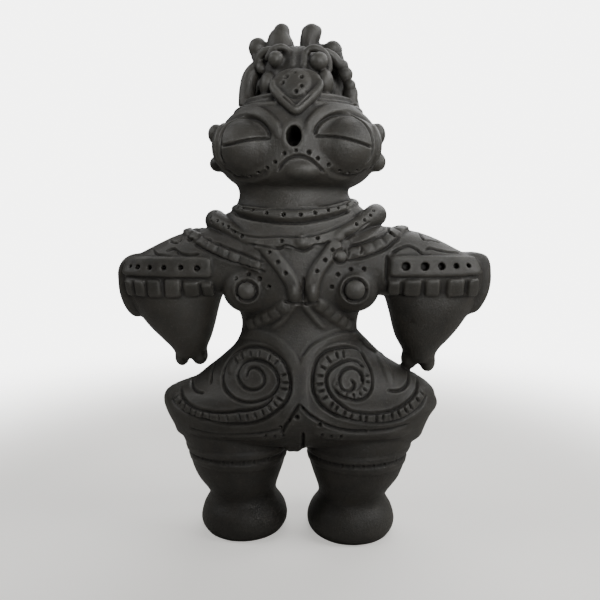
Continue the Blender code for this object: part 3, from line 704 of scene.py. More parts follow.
shield = {
    "middle": (0.3, 309.0),
    "lean": 0.42,  # how far it leans back for each millimetre up
    "front": -37.4,
    "outline": [
        (0.3, 323.4), (-7.3, 322.6), (-13, 319.1), (-16.2, 313.6), (-15.6, 306.9), (-11.1, 301.3),
        (-5.4, 296.4), (0.3, 291.8), (5.4, 296.2), (11.1, 301.7), (15.5, 307.1), (16.1, 313.2),
        (14.2, 318.6), (7.9, 322.4),
    ],
    "disc": (9.1, 9.4),
    "discMiddle": (0.2, 313.2),
    # the raised V of the lower rim, with its radius
    "rim": [
        (-15.3, 314, 1.3), (-15, 310.4, 2.2), (-12.9, 306.9, 2.8), (-9.9, 303.6, 3),
        (-4.9, 298.7, 2.9), (0.3, 294.7, 2.8), (4.9, 298.6, 2.9), (10, 303.6, 3),
        (13.1, 307, 2.8), (15.2, 310.4, 2.2), (15.5, 314, 1.3),
    ],
}


def shieldOutline(share):
    x0, z0 = shield["middle"]
    rim = smoothLine(shield["outline"] + shield["outline"][:1], 1.5)[:-1]
    return [(x0 + (x - x0) * share, z0 + (z - z0) * share) for x, z in rim]


def onShield(x, z, out):
    return Vector((x, shield["front"] - out + (z - shield["middle"][1]) * shield["lean"], z))


def crownPieces():
    paths = [roundRoll(points) for group in crownRolls.values() for points in group]
    rim = smoothLine([(x, onShield(x, z, 0.2)[1], z, r) for x, z, r in shield["rim"]], 1.0)
    paths.append(roundRoll(rim.tolist()))
    made = [grown(rolls, pathMesh(paths), {"Sides": 20})]
    bm = bmesh.new()
    for middle, reaches in crownBalls:
        ball(bm, middle, reaches)
    outlines = []
    for out, share in ((-20, 0.90), (-3, 0.98), (-1.2, 1.0), (0.2, 0.96), (0.7, 0.88)):
        outlines.append([onShield(x, z, out) for x, z in shieldOutline(share)])
    loft(bm, outlines)
    outlines = []
    for out, share in ((-4, 1.0), (0.8, 1.0), (1.9, 0.88), (2.6, 0.62), (2.8, 0.25)):
        wide, high = (reach * share for reach in shield["disc"])
        ring = ringOf(*shield["discMiddle"], wide, high, 48)[:-1]
        outlines.append([onShield(x, z, out) for x, z in ring])
    loft(bm, outlines)
    return made + [meshOf(bm)]


raised += crownPieces()
say("crown")

# The head: goggle rims, the ridges at the crown's foot, the lip of the mouth

goggleRims = {
    "halfWidth": 3.4,
    "rise": 1.7,
    "edge": 1.6,
    "taper": 16,
    "least": 0.15,
    "lines": [
        [(-47, 259.5), (-50.8, 264.4), (-52.8, 271), (-52.6, 278.5), (-50.8, 285.2), (-47.2, 291),
         (-41.4, 295), (-33, 296.8), (-24.2, 295), (-17, 290.2), (-12.4, 284.2), (-10.4, 278)],
        [(8, 279.5), (8.8, 285), (12.6, 290.8), (18.2, 295.2), (24.6, 297.8), (31, 298.6),
         (37.8, 297), (44, 293.2), (48.8, 287.8), (51.6, 281), (52.8, 274.4), (51.6, 267.6),
         (48.4, 261.4)],
    ],
}
crownFoot = {"halfWidth": 1.6, "rise": 2.2, "edge": 1.5, "height": 306.6}
browRing = {"halfWidth": 1.7, "rise": 1.3, "edge": 1.2, "height": 300.8}
crownAxis = {"middle": -1.5, "sway": 0.6}  # of the rings round the crown's foot
footGroove = {"height": 303.6, "wide": 1.2, "deep": 1.6, "gap": 15.5}
mouthLip = {
    "middle": (-1.0, 279.3), "reach": (6.6, 8.2), "halfWidth": 1.7, "rise": 0.5, "edge": 0.5,
}


def crownRing(height, step=1.5):
    sway = crownAxis["sway"]
    return skin.ring(crownAxis["middle"], lambda a: height + sway * math.sin(a), step=step)


def headPieces():
    made = [laid(goggleRims)]
    for band in (crownFoot, browRing):
        made.append(layStraps([closedLine(crownRing(band["height"]))], band, closed=True))
    lip = skin.front(ringOf(*mouthLip["middle"], *mouthLip["reach"]), 0.6)
    return made + [layStraps([closedLine(lip)], mouthLip, closed=True)]


raised += headPieces()
say("head")

# The yoke: neck strap, collars, chest straps, ladders, ribs, breast discs

neckStrap = {
    "halfWidth": 3.0, "rise": 2.3, "edge": 1.9,
    "back": (238.5, -3, 2, 12, 168),  # height, middle, slant, and between which angles
    "front": [(-46.2, 236), (-37.7, 234.4), (-30, 233.2), (-20, 231.6), (-9, 230.6), (2, 230.6),
              (12, 231.8), (20, 233.4), (27, 235.2), (33, 237), (39, 239.5)],
}
smoothCollar = {
    "halfWidth": 5.0, "rise": 1.3, "edge": 1.2,
    "lines": [[(-54, 231), (-44, 226.5), (-34, 222.8), (-23, 221.2), (-11, 221.4), (0, 221.2),
               (12, 222), (22, 224.4), (32, 228), (41, 233), (47, 237.5)]],
}
dottedCollar = {
    "halfWidth": 3.7, "rise": 2.1, "edge": 1.8,
    "lines": [[(-62, 230.5), (-56, 226.5), (-48.4, 222.4), (-42.6, 219.2), (-37.3, 216.6),
               (-30, 214.2), (-20, 213), (-9.8, 213.2), (3, 212.4), (14, 214.6), (26, 218.6),
               (33, 221.4), (38.9, 224.4), (45, 228), (52, 232.5)]],
    "behind": [(-60, 229), (-46, 220), (-25, 213.5), (-3, 211), (20, 213.5), (40, 221), (52, 231)],
}
chestStraps = {
    "halfWidth": 4.7, "rise": 2.5, "edge": 2.2, "taper": 7, "least": 0.45,
    "lines": [
        [(-22.5, 212), (-17.9, 206.8), (-12.1, 200), (-6.9, 192.8), (-2.6, 185.4), (-1.4, 176.8)],
        [(27, 213), (23.4, 207.9), (18.7, 201.4), (13.6, 194.2), (10.7, 186.4), (10.4, 176.8)],
    ],
}
# the straps widen to thick ends low on the chest
strapEnds = [((-1.5, -31.4, 181), (6.1, 8.6, 9)), ((10.4, -31.4, 181), (5.2, 8.6, 9))]
# place, reach across and out
bosses = [(3.4, 213, 4.2, 2.8), (-24.4, 210.8, 3.4, 2.2), (27.6, 216.8, 3.8, 2.3),
          (28.9, 203.6, 3.5, 2.2), (37.6, 206.4, 3, 1.8)]
shoulderKnobs = [
    [(-28, -29, 214.6, 2.6), (-36, -27, 216.6, 3.8), (-43, -24, 219.6, 4.8), (-50.6, -18, 223.6, 6),
     (-56.8, -11, 226.6, 7.2), (-59.4, -4, 227.2, 7.8)],
    [(24, -30, 217.6, 2.6), (30.6, -28, 220, 3.8), (37, -24.6, 222.6, 4.6), (44.6, -19, 227.2, 5.8),
     (50.6, -12, 230.2, 7.2), (53, -4, 231, 8)],
]
smoothStraps = {
    "halfWidth": 4.0, "rise": 1.5, "edge": 1.4, "taper": 10,
    "lines": [
        [(-70, 221.6), (-65.4, 219.9), (-60, 217.9), (-54.6, 215.3), (-47.8, 212.7), (-40.7, 209.5),
         (-31.2, 206.2), (-24, 203.7)],
        [(62, 231), (59, 227.4), (55, 222.9), (48.9, 218.7), (42.1, 215.2), (34.8, 212.4)],
    ],
}
ladders = {
    "halfWidth": 3.7, "rise": 1.2, "edge": 1.0, "padSize": (7.4, 7.03, 5.28),
    "unevenness": 0.08, "pads": [9, 8],
    "lines": [
        [(-82, 221), (-72.8, 217.2), (-67.5, 214.8), (-61.3, 211.4), (-55.5, 208.7), (-48, 205.4),
         (-40.5, 202.4), (-32.4, 199.6), (-22.9, 196.4)],
        [(86, 224), (75, 222), (65.5, 218.4), (61.2, 215.3), (56.5, 212.3), (50.5, 209.5),
         (44.7, 207.3), (38.1, 205.5), (29, 203)],
    ],
}
ribBands = {
    "halfWidth": 4.6, "rise": 1.3, "edge": 1.2, "pads": 5, "padSize": (6.2, 7.4, 4.6),
    "lines": [
        [(-5, 171.6), (-8.6, 169.6), (-13.4, 166.4), (-18.5, 163.2), (-23.5, 160.6), (-28.8, 157.9),
         (-36, 154.6)],
        [(12, 172.6), (16, 170.6), (20.6, 167), (24.7, 163.4), (28.7, 160.2), (32.9, 156.9),
         (38, 153.4)],
    ],
}
ribRidge = {"halfWidth": 1.8, "rise": 1.4, "edge": 1.2, "taper": 12, "least": 0.2, "lines": [
    [(3.2, 174), (6.7, 168.6), (9.3, 165), (12, 161.5), (15, 158), (19, 154.4)],
    [(0.1, 173), (-4.7, 166.6), (-8.9, 161), (-13.4, 157), (-18, 154)],
]}
breastDiscs = {
    "middles": [(-33.2, 180.6), (38.4, 181.6)], "reach": [5.6, 6.4], "out": 3.2,
    "rims": [8.0, 8.8], "halfWidth": 1.4, "rise": 0.8, "edge": 0.8,
}
backStraps = {
    "halfWidth": 3.8, "rise": 2.0, "edge": 1.7,
    "lines": [[(-2, 208), (-1, 190), (0, 172), (-1, 152)]],
}
backRidges = {"halfWidth": 2.0, "rise": 1.2, "edge": 1.0, "lines": [
    [(-5, 172), (-15, 166), (-27, 161), (-38, 158)],
    [(4, 172), (14, 166), (26, 161), (37, 158)],
    [(-5, 162), (-15, 156), (-27, 151.5), (-37, 149)],
    [(4, 162), (14, 156), (26, 151.5), (36, 149)],
]}


def dome(x, z, reach, out, lift):
    place, normal = skin.spot(x, z)
    sizes = (reach * clay["ballSize"], reach * clay["ballSize"], out * clay["ballSize"])
    return place + normal * lift, normal, (1, 0, 0), sizes


def yokePieces():
    # the neck strap is drawn in front, then goes on round the back
    height, middle, slant, start, end = neckStrap["back"]
    back = skin.ring(middle, lambda a: height + slant * math.cos(a), start, end, 2)
    made = [layStraps([skin.front(neckStrap["front"]) + back], neckStrap)]
    made += [laid(size) for size in (smoothCollar, dottedCollar)]
    made.append(layStraps([skin.front(dottedCollar["behind"], behind=True)], dottedCollar))
    made += [laid(size) for size in (chestStraps, ribRidge, smoothStraps)]
    knobs = [roundRoll(points) for points in shoulderKnobs]
    made.append(grown(rolls, pathMesh(knobs), {"Sides": 24}))
    made += [laid(size, behind=True) for size in (backStraps, backRidges)]
    pads = []
    for behind in (False, True):
        lines = [skin.front(points, behind=behind) for points in ladders["lines"]]
        made.append(layStraps(lines, ladders))
        for line, count in zip(lines, ladders["pads"]):
            pads += padsAlong(line, count, ladders["padSize"], 0.0, 0.99)
    for points in ribBands["lines"]:
        line = skin.front(points)
        made.append(layStraps([line], ribBands))
        pads += padsAlong(line, ribBands["pads"], ribBands["padSize"], 0.03, 0.95)
    domes = [dome(*boss, 1.0) for boss in bosses]
    for k, (x, z) in enumerate(breastDiscs["middles"]):
        domes.append(dome(x, z, breastDiscs["reach"][k], breastDiscs["out"], 0.0))
        ring = skin.front(ringOf(x, z, breastDiscs["rims"][k]), 0.6)
        made.append(layStraps([closedLine(ring)], breastDiscs, closed=True))
    values = {"Corners": 3, "Unevenness": ladders["unevenness"], "Seed": 4}
    made.append(grown(pillows, padMesh(pads), values))
    made.append(grown(pillows, padMesh(domes), {"Corners": 2, "Unevenness": 0.0, "Seed": 1}))
    bm = bmesh.new()
    for middle, reaches in strapEnds:
        ball(bm, middle, reaches)
    return made + [meshOf(bm)]


raised += yokePieces()
say("yoke")

# The sleeves: the pierced band above, the band of pads below

piercedBand = {
    "halfWidth": 7.0, "rise": 2.3, "edge": 1.9, "taper": 3, "least": 0.8,
    "inner": {"left": 58, "right": 61.5}, "outer": 120.5,
}
paddedBand = {
    "halfWidth": 6.4, "rise": 0.9, "edge": 0.8, "taper": 3,
    "inner": {"left": 60, "right": 60}, "outer": 121,
    "padHeight": 12.2, "padOut": 6.4, "unevenness": 0.03,
    # each pad: its middle and its width
    "left": [(-61.6, 7.4), (-72.6, 10.8), (-85.2, 10.6), (-98, 9.4), (-108.2, 7.4), (-116.2, 5.6)],
    "right": [(64.6, 8), (76.6, 10.6), (89.8, 9.4), (104.9, 11), (116.4, 7.6)],
}
bandHeights = {"left": (195.9, 181.4), "right": (197.0, 183.2)}


def sleevePieces():
    made = []
    pads = []
    for side, key in ((-1, "left"), (1, "right")):
        for behind in (False, True):
            for band, z in zip((piercedBand, paddedBand), bandHeights[key]):
                ends = [(side * band["inner"][key], z), (side * band["outer"], z)]
                made.append(layStraps([skin.front(ends, 1.0, behind)], band))
            for x, wide in paddedBand[key]:
                size = (wide, paddedBand["padHeight"], paddedBand["padOut"])
                pads.append((*skin.spot(x, bandHeights[key][1], behind), (1, 0, 0), size))
    values = {"Corners": 4, "Unevenness": paddedBand["unevenness"], "Seed": 9}
    return made + [grown(pillows, padMesh(pads), values)]


raised += sleevePieces()
say("sleeves")

# The hips and legs: the swell round each spiral, the hem, the thigh bands

hipRidges = {
    "halfWidth": 3.4, "rise": 1.0, "edge": 0.9, "taper": 16, "least": 0.2,
    "lines": [
        [(-8, 99), (-1.5, 108), (0.8, 120), (-1.5, 132), (-8, 141), (-18, 147.4), (-30, 149),
         (-42, 146)],
        [(9, 99), (5.4, 108), (4.6, 122), (6.6, 134), (12, 142), (21, 147.4), (32.3, 149),
         (43, 145.6), (54.5, 135), (61, 126), (63.6, 116)],
    ],
}
hipBands = {
    "halfWidth": 2.9, "rise": 1.2, "edge": 1.0, "taper": 10, "least": 0.3,
    # each band: its middle line, the length and spacing of its ticks, and how deep they are
    "rows": [
        ([(-88, 105.4), (-82.5, 100.6), (-75.5, 97.4), (-68, 95.8), (-62, 95.2)], 5.4, 4.6, 1),
        ([(-62, 95.2), (-48.5, 95), (-40, 96)], 5.2, 6.4, 0.6),
        ([(-40, 96), (-30, 97.6), (-21.5, 100.8), (-14, 106.2), (-10, 111), (-8, 117), (-8.2, 124),
          (-11.2, 130)], 6, 5.2, 0.9),
        ([(-11.2, 130), (-16.8, 134.6), (-24.1, 137), (-31.8, 136.5), (-39, 134), (-44.4, 129),
          (-46.4, 122)], 5.6, 6.6, 0.75),
        ([(88, 111), (83, 105.5), (77, 101.4), (70, 98.4), (62, 96.6), (53.5, 96.3), (43.5, 97.4),
          (34, 100.2), (25.5, 104.8), (19.5, 110), (16.2, 116.2), (15.6, 123), (17.4, 129),
          (21.5, 134.5), (27.5, 137), (35, 137.6)], 6, 5.3, 1),
        ([(25.8, 122), (28, 117.6), (31.6, 114), (36, 112.2), (41.2, 112.4), (45.4, 115),
          (47.4, 119.4), (46.6, 124.6), (44, 128.6)], 3.6, 4.6, 0.8),
    ],
}
hem = {
    "halfWidth": 3.0, "rise": 0.6, "edge": 0.5, "taper": 16, "least": 0.2,
    "lines": [
        [(-8, 85), (-17, 83), (-31, 82), (-46, 81), (-62, 80.4), (-78, 81)],
        [(12, 88), (26, 84.6), (42.5, 82.8), (61, 82.4), (78, 83)],
    ],
}
thighBands = {"halfWidth": 2.2, "rise": 0.8, "edge": 0.7, "heights": (64.4, 56.6), "sway": 0.7}


def legRing(side, height, step):
    hub = clay["legMiddle"] + side * clay["legHub"]
    return skin.ring(hub, height, step=step, fromInside=True)


def hipPieces():
    made = []
    for behind in (False, True):
        made += [laid(hipRidges, behind), laid(hem, behind)]
        lines = [skin.front(row[0], behind=behind) for row in hipBands["rows"]]
        made.append(layStraps(lines, hipBands))
    for side in (-1, 1):
        for z in thighBands["heights"]:
            line = legRing(side, lambda a: z + thighBands["sway"] * math.sin(2 * a + z * side), 1.5)
            made.append(layStraps([closedLine(line)], thighBands, closed=True))
    return made


raised += hipPieces()
say("hips and thighs")

# All of it becomes one skin, and the deep holes are cut through it.

deepHoles = {
    "mouth": (-1.2, 279.3, 4.9, 6.5, 28.0),  # place, reach across and up, depth
    "sleeveDepth": 6.5,
    # place and reach
    "left": [(-67.3, 195.1, 2.1), (-78.5, 195.6, 1.8), (-90.4, 195.3, 1.8), (-100.6, 195.3, 1.7),
             (-109.4, 195.7, 1.8), (-115.4, 195.8, 1.3)],
    "right": [(71.7, 196.9, 2.8), (84.1, 196.9, 2.8), (95.1, 197, 2.4), (104.9, 197.3, 1.9),
              (113.6, 197.4, 1.6)],
}


def holeTools(surface):
    bm = bmesh.new()
    spots = [(*deepHoles["mouth"], False)]
    for x, z, reach in deepHoles["left"] + deepHoles["right"]:
        for behind in (False, True):
            spots.append((x, z, reach, reach, deepHoles["sleeveDepth"], behind))
    for x, z, wide, high, depth, behind in spots:
        found = surface.spot(x, z, behind)
        if found is None:
            continue
        place, normal = found
        way = Vector((0, 1 if behind else -1, 0))
        out = (normal + way).normalized()
        right = Vector((0, 0, 1)).cross(out).normalized()
        up = out.cross(right)
        outlines = []
        for reach, share in ((4, 1.0), (-depth * 0.8, 1.0), (-depth * 0.95, 0.8), (-depth, 0.45)):
            hub = place + out * reach
            across, along = right * wide * share, up * high * share
            turns = [2 * math.pi * i / 28 for i in range(28)]
            outlines.append([hub + across * math.cos(a) + along * math.sin(a) for a in turns])
        loft(bm, outlines)
    return meshOf(bm)


def cutHoles(mesh):
    tool = placed("tool", holeTools(Skin(mesh)))

    def setUp(helper):
        cut = helper.modifiers.new("cut", "BOOLEAN")
        cut.operation = "DIFFERENCE"
        cut.solver = "MANIFOLD"
        cut.object = tool

    made = withModifiers(mesh, setUp)
    bpy.data.objects.remove(tool)
    return made


dressed = oneSkin(joined(raised + [bare]), clay["fineVoxel"], 2)
say(f"ornaments joined to the body, {len(dressed.vertices)} points")
dressed = grown(handSmoothed, dressed, {"Waves": clay["handWaves"], "Dents": clay["handDents"]})
dressed = cutHoles(dressed)
dressed = oneSkin(dressed, clay["fineVoxel"], 2)
skin = Skin(dressed)
say(f"mouth and sleeve holes, {len(dressed.vertices)} points")

# Lines drawn in the clay with a stick

eyeArcs = {
    "wide": 1.4, "deep": 1.7,
    "front": [
        [(-46, 262.6), (-48.2, 266.4), (-48.9, 270.6), (-48.3, 274.5), (-48.1, 278.9), (-47, 283.4),
         (-44.9, 287.6), (-41.3, 290.3), (-36.8, 291.7), (-31.4, 292.1), (-25.9, 290.6),
         (-21.2, 287.5), (-17.8, 283.5), (-15.7, 278.2)],
        [(12, 279.3), (12.6, 282.8), (15.5, 287.3), (20, 290.9), (25, 293.2), (30.1, 294.1),
         (35.3, 293.2), (39.8, 290.4), (43.8, 286.8), (46.6, 282.2), (48.2, 277.8), (48.9, 272.5),
         (47.8, 267.6), (45, 263.2)],
    ],
}
eyeSlits = {
    "wide": 1.15, "deep": 2.3,
    "front": [
        [(-48.2, 273.7), (-41.5, 274.3), (-35.2, 275.7), (-29, 277.1), (-22.9, 277.9),
         (-16, 277.9)],
        [(12, 278.9), (18.2, 279.1), (24.5, 278.5), (30.7, 277.3), (37, 275.6), (43.4, 273.8),
         (48, 272.4)],
    ],
}
# the soft fold under each goggle
goggleFolds = {"wide": 2.6, "deep": 0.9, "front": [
    [(-45.4, 260), (-41.4, 256.4), (-36, 254.6), (-30.2, 254), (-24.2, 255.4), (-18, 258.4)],
    [(45.4, 260.4), (41.6, 258), (36.6, 256.2), (31, 255.4), (26, 256.4), (21, 259)],
]}
chinLine = {"wide": 1.3, "deep": 1.6, "front": [
    [(-11.2, 258), (-9.2, 261), (-6, 264.3), (-2.3, 266.2), (2.8, 266.9), (7.3, 265.8),
     (11, 263.6), (14.6, 260.4), (17.8, 257)],
]}
yokeLines = {
    "wide": 1.1, "deep": 1.1,
    "front": [
        [(-38, 235.6), (-31, 234.6), (-21, 234.4), (-11, 234.2), (2, 234.4), (15, 235.2),
         (25, 236.6), (34.5, 239.8)],
        [(-46, 221.5), (-35, 217.2), (-23.5, 216), (-11.4, 216.6), (0, 216.2), (12, 217.6),
         (21.6, 220.6), (31.3, 225), (40, 230), (46, 235)],
        [(-32, 211.6), (-26, 210.6), (-21.1, 210), (-16, 209.3), (-10.8, 208.8), (-7.6, 210.6),
         (-4.3, 210), (0.3, 208.2), (4.2, 207.2), (8.1, 208.6), (12, 210.8), (17.2, 211.4),
         (22.5, 213.6)],
        [(30, 213.6), (34.7, 216.4), (39.6, 219.6), (44, 223), (48, 226)],
    ],
}
# the dark gap under the neck strap
neckGap = {"wide": 1.7, "deep": 2.6, "front": [
    [(-43, 231.8), (-37, 229.6), (-29.5, 227.9), (-20, 226.5), (-9, 225.6), (2, 225.6), (12, 226.9),
     (20.5, 228.7), (27.5, 230.9), (34, 233.4)],
]}
strapBorders = {"wide": 1.2, "deep": 1.3, "front": [
    [(-69.4, 211.2), (-62.4, 207.4), (-56.7, 204.8), (-48.4, 201.2), (-38, 198), (-27.4, 195),
     (-20.9, 193.4)],
    [(-64.3, 216.6), (-57.5, 213.3), (-48.1, 209.4), (-38.1, 205.8), (-27.9, 201.9), (-22, 200)],
    [(33, 200.4), (39.5, 201.4), (46.7, 203.4), (52.7, 205.6), (58.6, 208.4), (63.3, 212.2),
     (68, 216)],
    [(34.9, 210.2), (41.4, 211.6), (48.1, 213.9), (54.9, 216.7), (60.9, 220.4)],
]}
discGrooves = {"wide": 1.5, "deep": 2.2, "reach": [6.8, 7.6]}
cloudLines = {
    "wide": 1.25, "deep": 1.5,
    "front": [
        [(-101, 207.5), (-97.5, 204.6), (-90, 203.2), (-85, 203)],
        [(-89, 206.6), (-84, 207.8), (-80.5, 205.4), (-75, 203.8), (-66, 204.4)],
        [(-89.5, 213.6), (-86, 212.2), (-82, 212.2), (-79.6, 214.8)],
        [(-76, 216.6), (-73.6, 213.6), (-71, 214.8)],
        [(62, 205.2), (67.5, 208.4), (73, 210.2), (78.5, 208.2), (82, 205.4), (88, 204.8)],
        [(82.5, 219), (84.4, 214.2), (89.5, 213.6), (96, 212.2)],
        [(84.5, 207.6), (88, 208.6), (93, 207.4), (101, 206), (109, 205.4)],
        [(64.5, 226), (61, 219.5), (66, 216)],
    ],
}
hipLines = {
    "wide": 1.5, "deep": 1.8, "steepness": 2.2, "lip": 0.22,
    "front": [
        # the left spiral runs out into the band's lower line
        [(-34.2, 121.5), (-34, 125), (-31.4, 127.6), (-27.7, 128), (-24.3, 126.2), (-22, 123),
         (-21.6, 119.6), (-23.6, 116.4), (-29.3, 114), (-35, 115), (-38.8, 118), (-41, 122.4),
         (-39.6, 127), (-34, 131.8), (-26.7, 132.9), (-18.6, 130.8), (-13.8, 126.3), (-11.6, 121),
         (-12.9, 116.2), (-16.6, 111.4), (-22.8, 108.3), (-30, 106.4), (-37.9, 106.8),
         (-44.6, 109.4), (-49.6, 113.1), (-51.8, 118), (-51.6, 123.4), (-48.4, 131), (-41.1, 137.6),
         (-29.5, 141.2), (-21.5, 141), (-14.9, 138.3), (-9, 133.6), (-5.7, 127.9), (-3.6, 120),
         (-4.4, 112), (-7.8, 106.4), (-12.5, 102.2), (-22.5, 95.5), (-31.5, 92.6), (-41.2, 91.3),
         (-50, 91.2), (-60.6, 92), (-70, 93), (-78.5, 94.9), (-85, 97.6), (-89.8, 101)],
        [(-15.4, 110.2), (-20.6, 105.4), (-28.5, 102.2), (-37.6, 100.5), (-47, 98.8), (-57.6, 98),
         (-66, 98.4), (-72.9, 99.9), (-80, 103.6), (-84.5, 108.5)],
        # the right spiral
        [(25.7, 115.6), (30, 111.6), (35.6, 109.7), (41.4, 108.6), (46.3, 110.4), (49.8, 114.8),
         (50.6, 120.3), (49.6, 126.6), (46.5, 132), (42.8, 137.4), (38, 140.2), (32.3, 141.4),
         (25, 141), (18.8, 139.1), (14.6, 135.4), (12, 129.6), (11, 123.1), (11.6, 114.6),
         (15.9, 106.9), (23, 101.4), (32.4, 97.5), (42, 94.6), (52.5, 92.9), (62, 92.6),
         (71.1, 93.7), (79, 96.8), (85.8, 101.4), (89.5, 106)],
        [(44.8, 128.4), (40.6, 132), (35.6, 133.2), (31, 132.6), (27, 131), (22.6, 128.2),
         (19.9, 123), (20.4, 117.8), (23.2, 112.6), (27.7, 108), (35.7, 102.5), (45, 100.2),
         (55.8, 99.5), (64.4, 100.4), (71.8, 103), (78, 106.8), (82.5, 111.8), (84, 116)],
        [(36.4, 121.4), (38.6, 118.8), (36.8, 115.6), (32.6, 115.4), (29.4, 118.4), (28.8, 123),
         (31, 127), (35.6, 128.6), (40, 127.6), (43.4, 124), (44.4, 119)],
        # the short lines at the outer ends
        [(77.6, 119.6), (76.4, 116.6), (73, 113.6), (67, 112.4), (61.5, 113.2)],
        [(-79, 112.4), (-74.9, 110), (-70.5, 108.8), (-65, 108.6)],
        [(-60, 125.6), (-61.4, 122), (-61.3, 118.4), (-60.6, 114)],
        # the edges of the lump between the legs
        [(2.7, 106.2), (7, 101.6), (12.7, 97.4), (23.9, 91.4), (35.8, 88.4), (48, 87.4)],
        [(2, 106.2), (-2.4, 99), (-6.6, 92.6), (-9.8, 86)],
    ],
}
hipSwirl = {"wide": 1.6, "deep": 0.7, "front": [
    [(3.5, 137), (9.4, 144.2), (18.7, 149), (32.3, 151.4), (43, 149)],
]}
hemLines = {"wide": 1.5, "deep": 0.7, "front": [
    [(-74.9, 83), (-57.9, 82), (-37.5, 83.8), (-20.7, 86.6), (-8.6, 90)],
    [(48, 87.4), (60, 87.2), (76, 89)],
]}
thighLines = {"wide": 1.8, "deep": 0.25, "height": 60.7}
sleeveLines = {"wide": 1.4, "deep": 1.6, "front": [[(59.4, 204), (59.2, 196), (59, 186)]]}
strapEdges = {"wide": 1.3, "deep": 1.7, "front": [
    [(4.5, 190), (4.9, 186), (4.7, 180.6), (4.4, 173.6)],
    [(-8.6, 174.2), (-3, 172.6), (4.1, 172.4), (10, 172.4), (14.6, 173.6)],
]}
shieldLines = {
    "wide": 1.1, "deep": 1.3,
    "front": [
        [(-6.9, 305.4), (-3.5, 303.4), (0.4, 302.8), (4.3, 304), (7.8, 307)],
        [(-9.2, 304.6), (-4.5, 300.4), (0.3, 297), (4.4, 300), (9.6, 305)],
    ],
}
ladderLines = {"wide": 1.0, "deep": 1.3, "front": [
    ringOf(28.9, 203.6, 4.6), [(42, 210.6), (42.6, 208), (41.6, 204.6)],
    [(33.6, 208.6), (34.2, 205), (33.2, 201.4)],
]}
crotchLines = {"wide": 1.4, "deep": 3, "front": [[(4.8, 87), (4.7, 82), (4.3, 76), (4, 70)]]}


frontLines = (
    eyeArcs, eyeSlits, chinLine, goggleFolds, yokeLines, neckGap, strapBorders, cloudLines,
    sleeveLines, strapEdges, shieldLines, ladderLines, crotchLines,
)


def drawn(lines, wide, deep, taper=5):
    paths = []
    for line in lines:
        path = []
        for i, (place, normal) in enumerate(line):
            share = min(1.0, 0.25 + 0.75 * min(i, len(line) - 1 - i) / taper)
            path.append((place, normal, wide * (0.6 + 0.4 * share), deep * share))
        paths.append(path)
    return paths


def drawnOn(group, behind=False):
    lines = [skin.front(points, 0.35, behind) for points in group["front"]]
    return drawn(lines, group["wide"], group["deep"])


def evenRow(line, size):
    return [(place, normal, size["wide"], size["deep"]) for place, normal in line]


def stickLines():
    paths = []
    for group in frontLines:
        paths += drawnOn(group)
    for group in (cloudLines, sleeveLines, strapBorders):
        paths += drawnOn(group, behind=True)
    # the groove at the crown's foot stops at the shield
    foot = crownRing(footGroove["height"], 0.7)
    clear = [p for p in foot if p[0].y > 0 or abs(p[0].x - shield["middle"][0]) > footGroove["gap"]]
    paths.append(evenRow(clear, footGroove))
    paths += drawnOn(hipLines) + drawnOn(hipLines, behind=True)
    paths += drawnOn(hipSwirl) + drawnOn(hemLines)
    for (x, z), reach in zip(breastDiscs["middles"], discGrooves["reach"]):
        paths.append(evenRow(skin.front(ringOf(x, z, reach), 0.35), discGrooves))
    for side in (-1, 1):
        paths.append(evenRow(legRing(side, lambda a: thighLines["height"], 0.7), thighLines))
    return paths


# Dots and ticks stamped with the end of a stick

dotMarks = {
    "steepness": 3.4, "lip": 0.1, "wide": 1.35, "deep": 3.2,
    # the dots at the back: their share across, how far they are moved, their share of the depth
    "behind": (0.98, -2, 0.9),
}
# each dot: across, up, and its share of the width
dotPlaces = {
    "face": [(0.3, 270.2, 0.8), (-7.2, 268.5, 1.05), (8.4, 269, 1.2), (-13.1, 263.2, 1),
             (14, 265.5, 1), (-18.4, 259.8, 1), (20.8, 261.5, 1), (-24.7, 257.1, 1.1),
             (27.8, 258.3, 1), (-30.6, 255.4, 1.1), (33.4, 257.2, 1), (-36.2, 256, 1.1),
             (-41.6, 257.2, 1), (38.4, 258.6, 0.8)],
    "neck": [(-46.2, 236, 0.9), (-41.5, 235.6, 0.9), (-37.7, 234.8, 0.9), (-30.1, 234, 1),
             (-20.2, 232, 1.1), (-8.7, 230.8, 1.2), (2.4, 230.8, 1.1), (12, 232, 1.1),
             (20.6, 233.8, 0.9), (27, 235.6, 0.9), (33, 237.4, 0.9), (38, 239.6, 0.8)],
    "collar": [(-60.7, 229.5, 0.85), (-59.5, 226.2, 0.8), (-54.9, 227, 0.95), (-51, 224.3, 0.95),
               (-53.4, 220.4, 0.8), (-46.6, 222.7, 1.15), (-42.4, 219.4, 1.15),
               (-36.9, 216.6, 1.15), (-9.8, 213.6, 1.05), (13.8, 215.6, 1.1), (39.3, 224.6, 1),
               (44.6, 227.4, 0.95), (48.7, 230.6, 1), (50.6, 233.6, 0.85)],
    "straps": [(-17.7, 206.4, 1), (-12.1, 200, 1.1), (-6.9, 192.8, 1.1), (23.6, 207.8, 1.1),
               (18.8, 201.3, 1.1), (13.6, 194.2, 1)],
    "breasts": [(-40.5, 188.7, 1.1), (-32.1, 191.6, 1.2), (-24.6, 188.6, 1.3), (-18.4, 183.4, 1.1),
                (23.2, 183.4, 1.2), (27.2, 191.6, 1.2), (35.6, 195.1, 1.1), (44.2, 195.2, 1.1)],
    "shield": [(-6.6, 316.8, 1.45), (3.4, 316.3, 1.2), (-8.6, 312.7, 1.2), (3.4, 310.4, 1.1),
               (0.1, 306.8, 1.15), (-0.9, 319.2, 0.7)],
    "crotch": [(4.7, 104.2, 1), (0.8, 98.3, 1.3), (-4.5, 95.5, 1.2), (-9.9, 91, 1),
               (16, 92.9, 1.2)],
    "knobs": [(-57.9, 233.2, 0.85)],
}
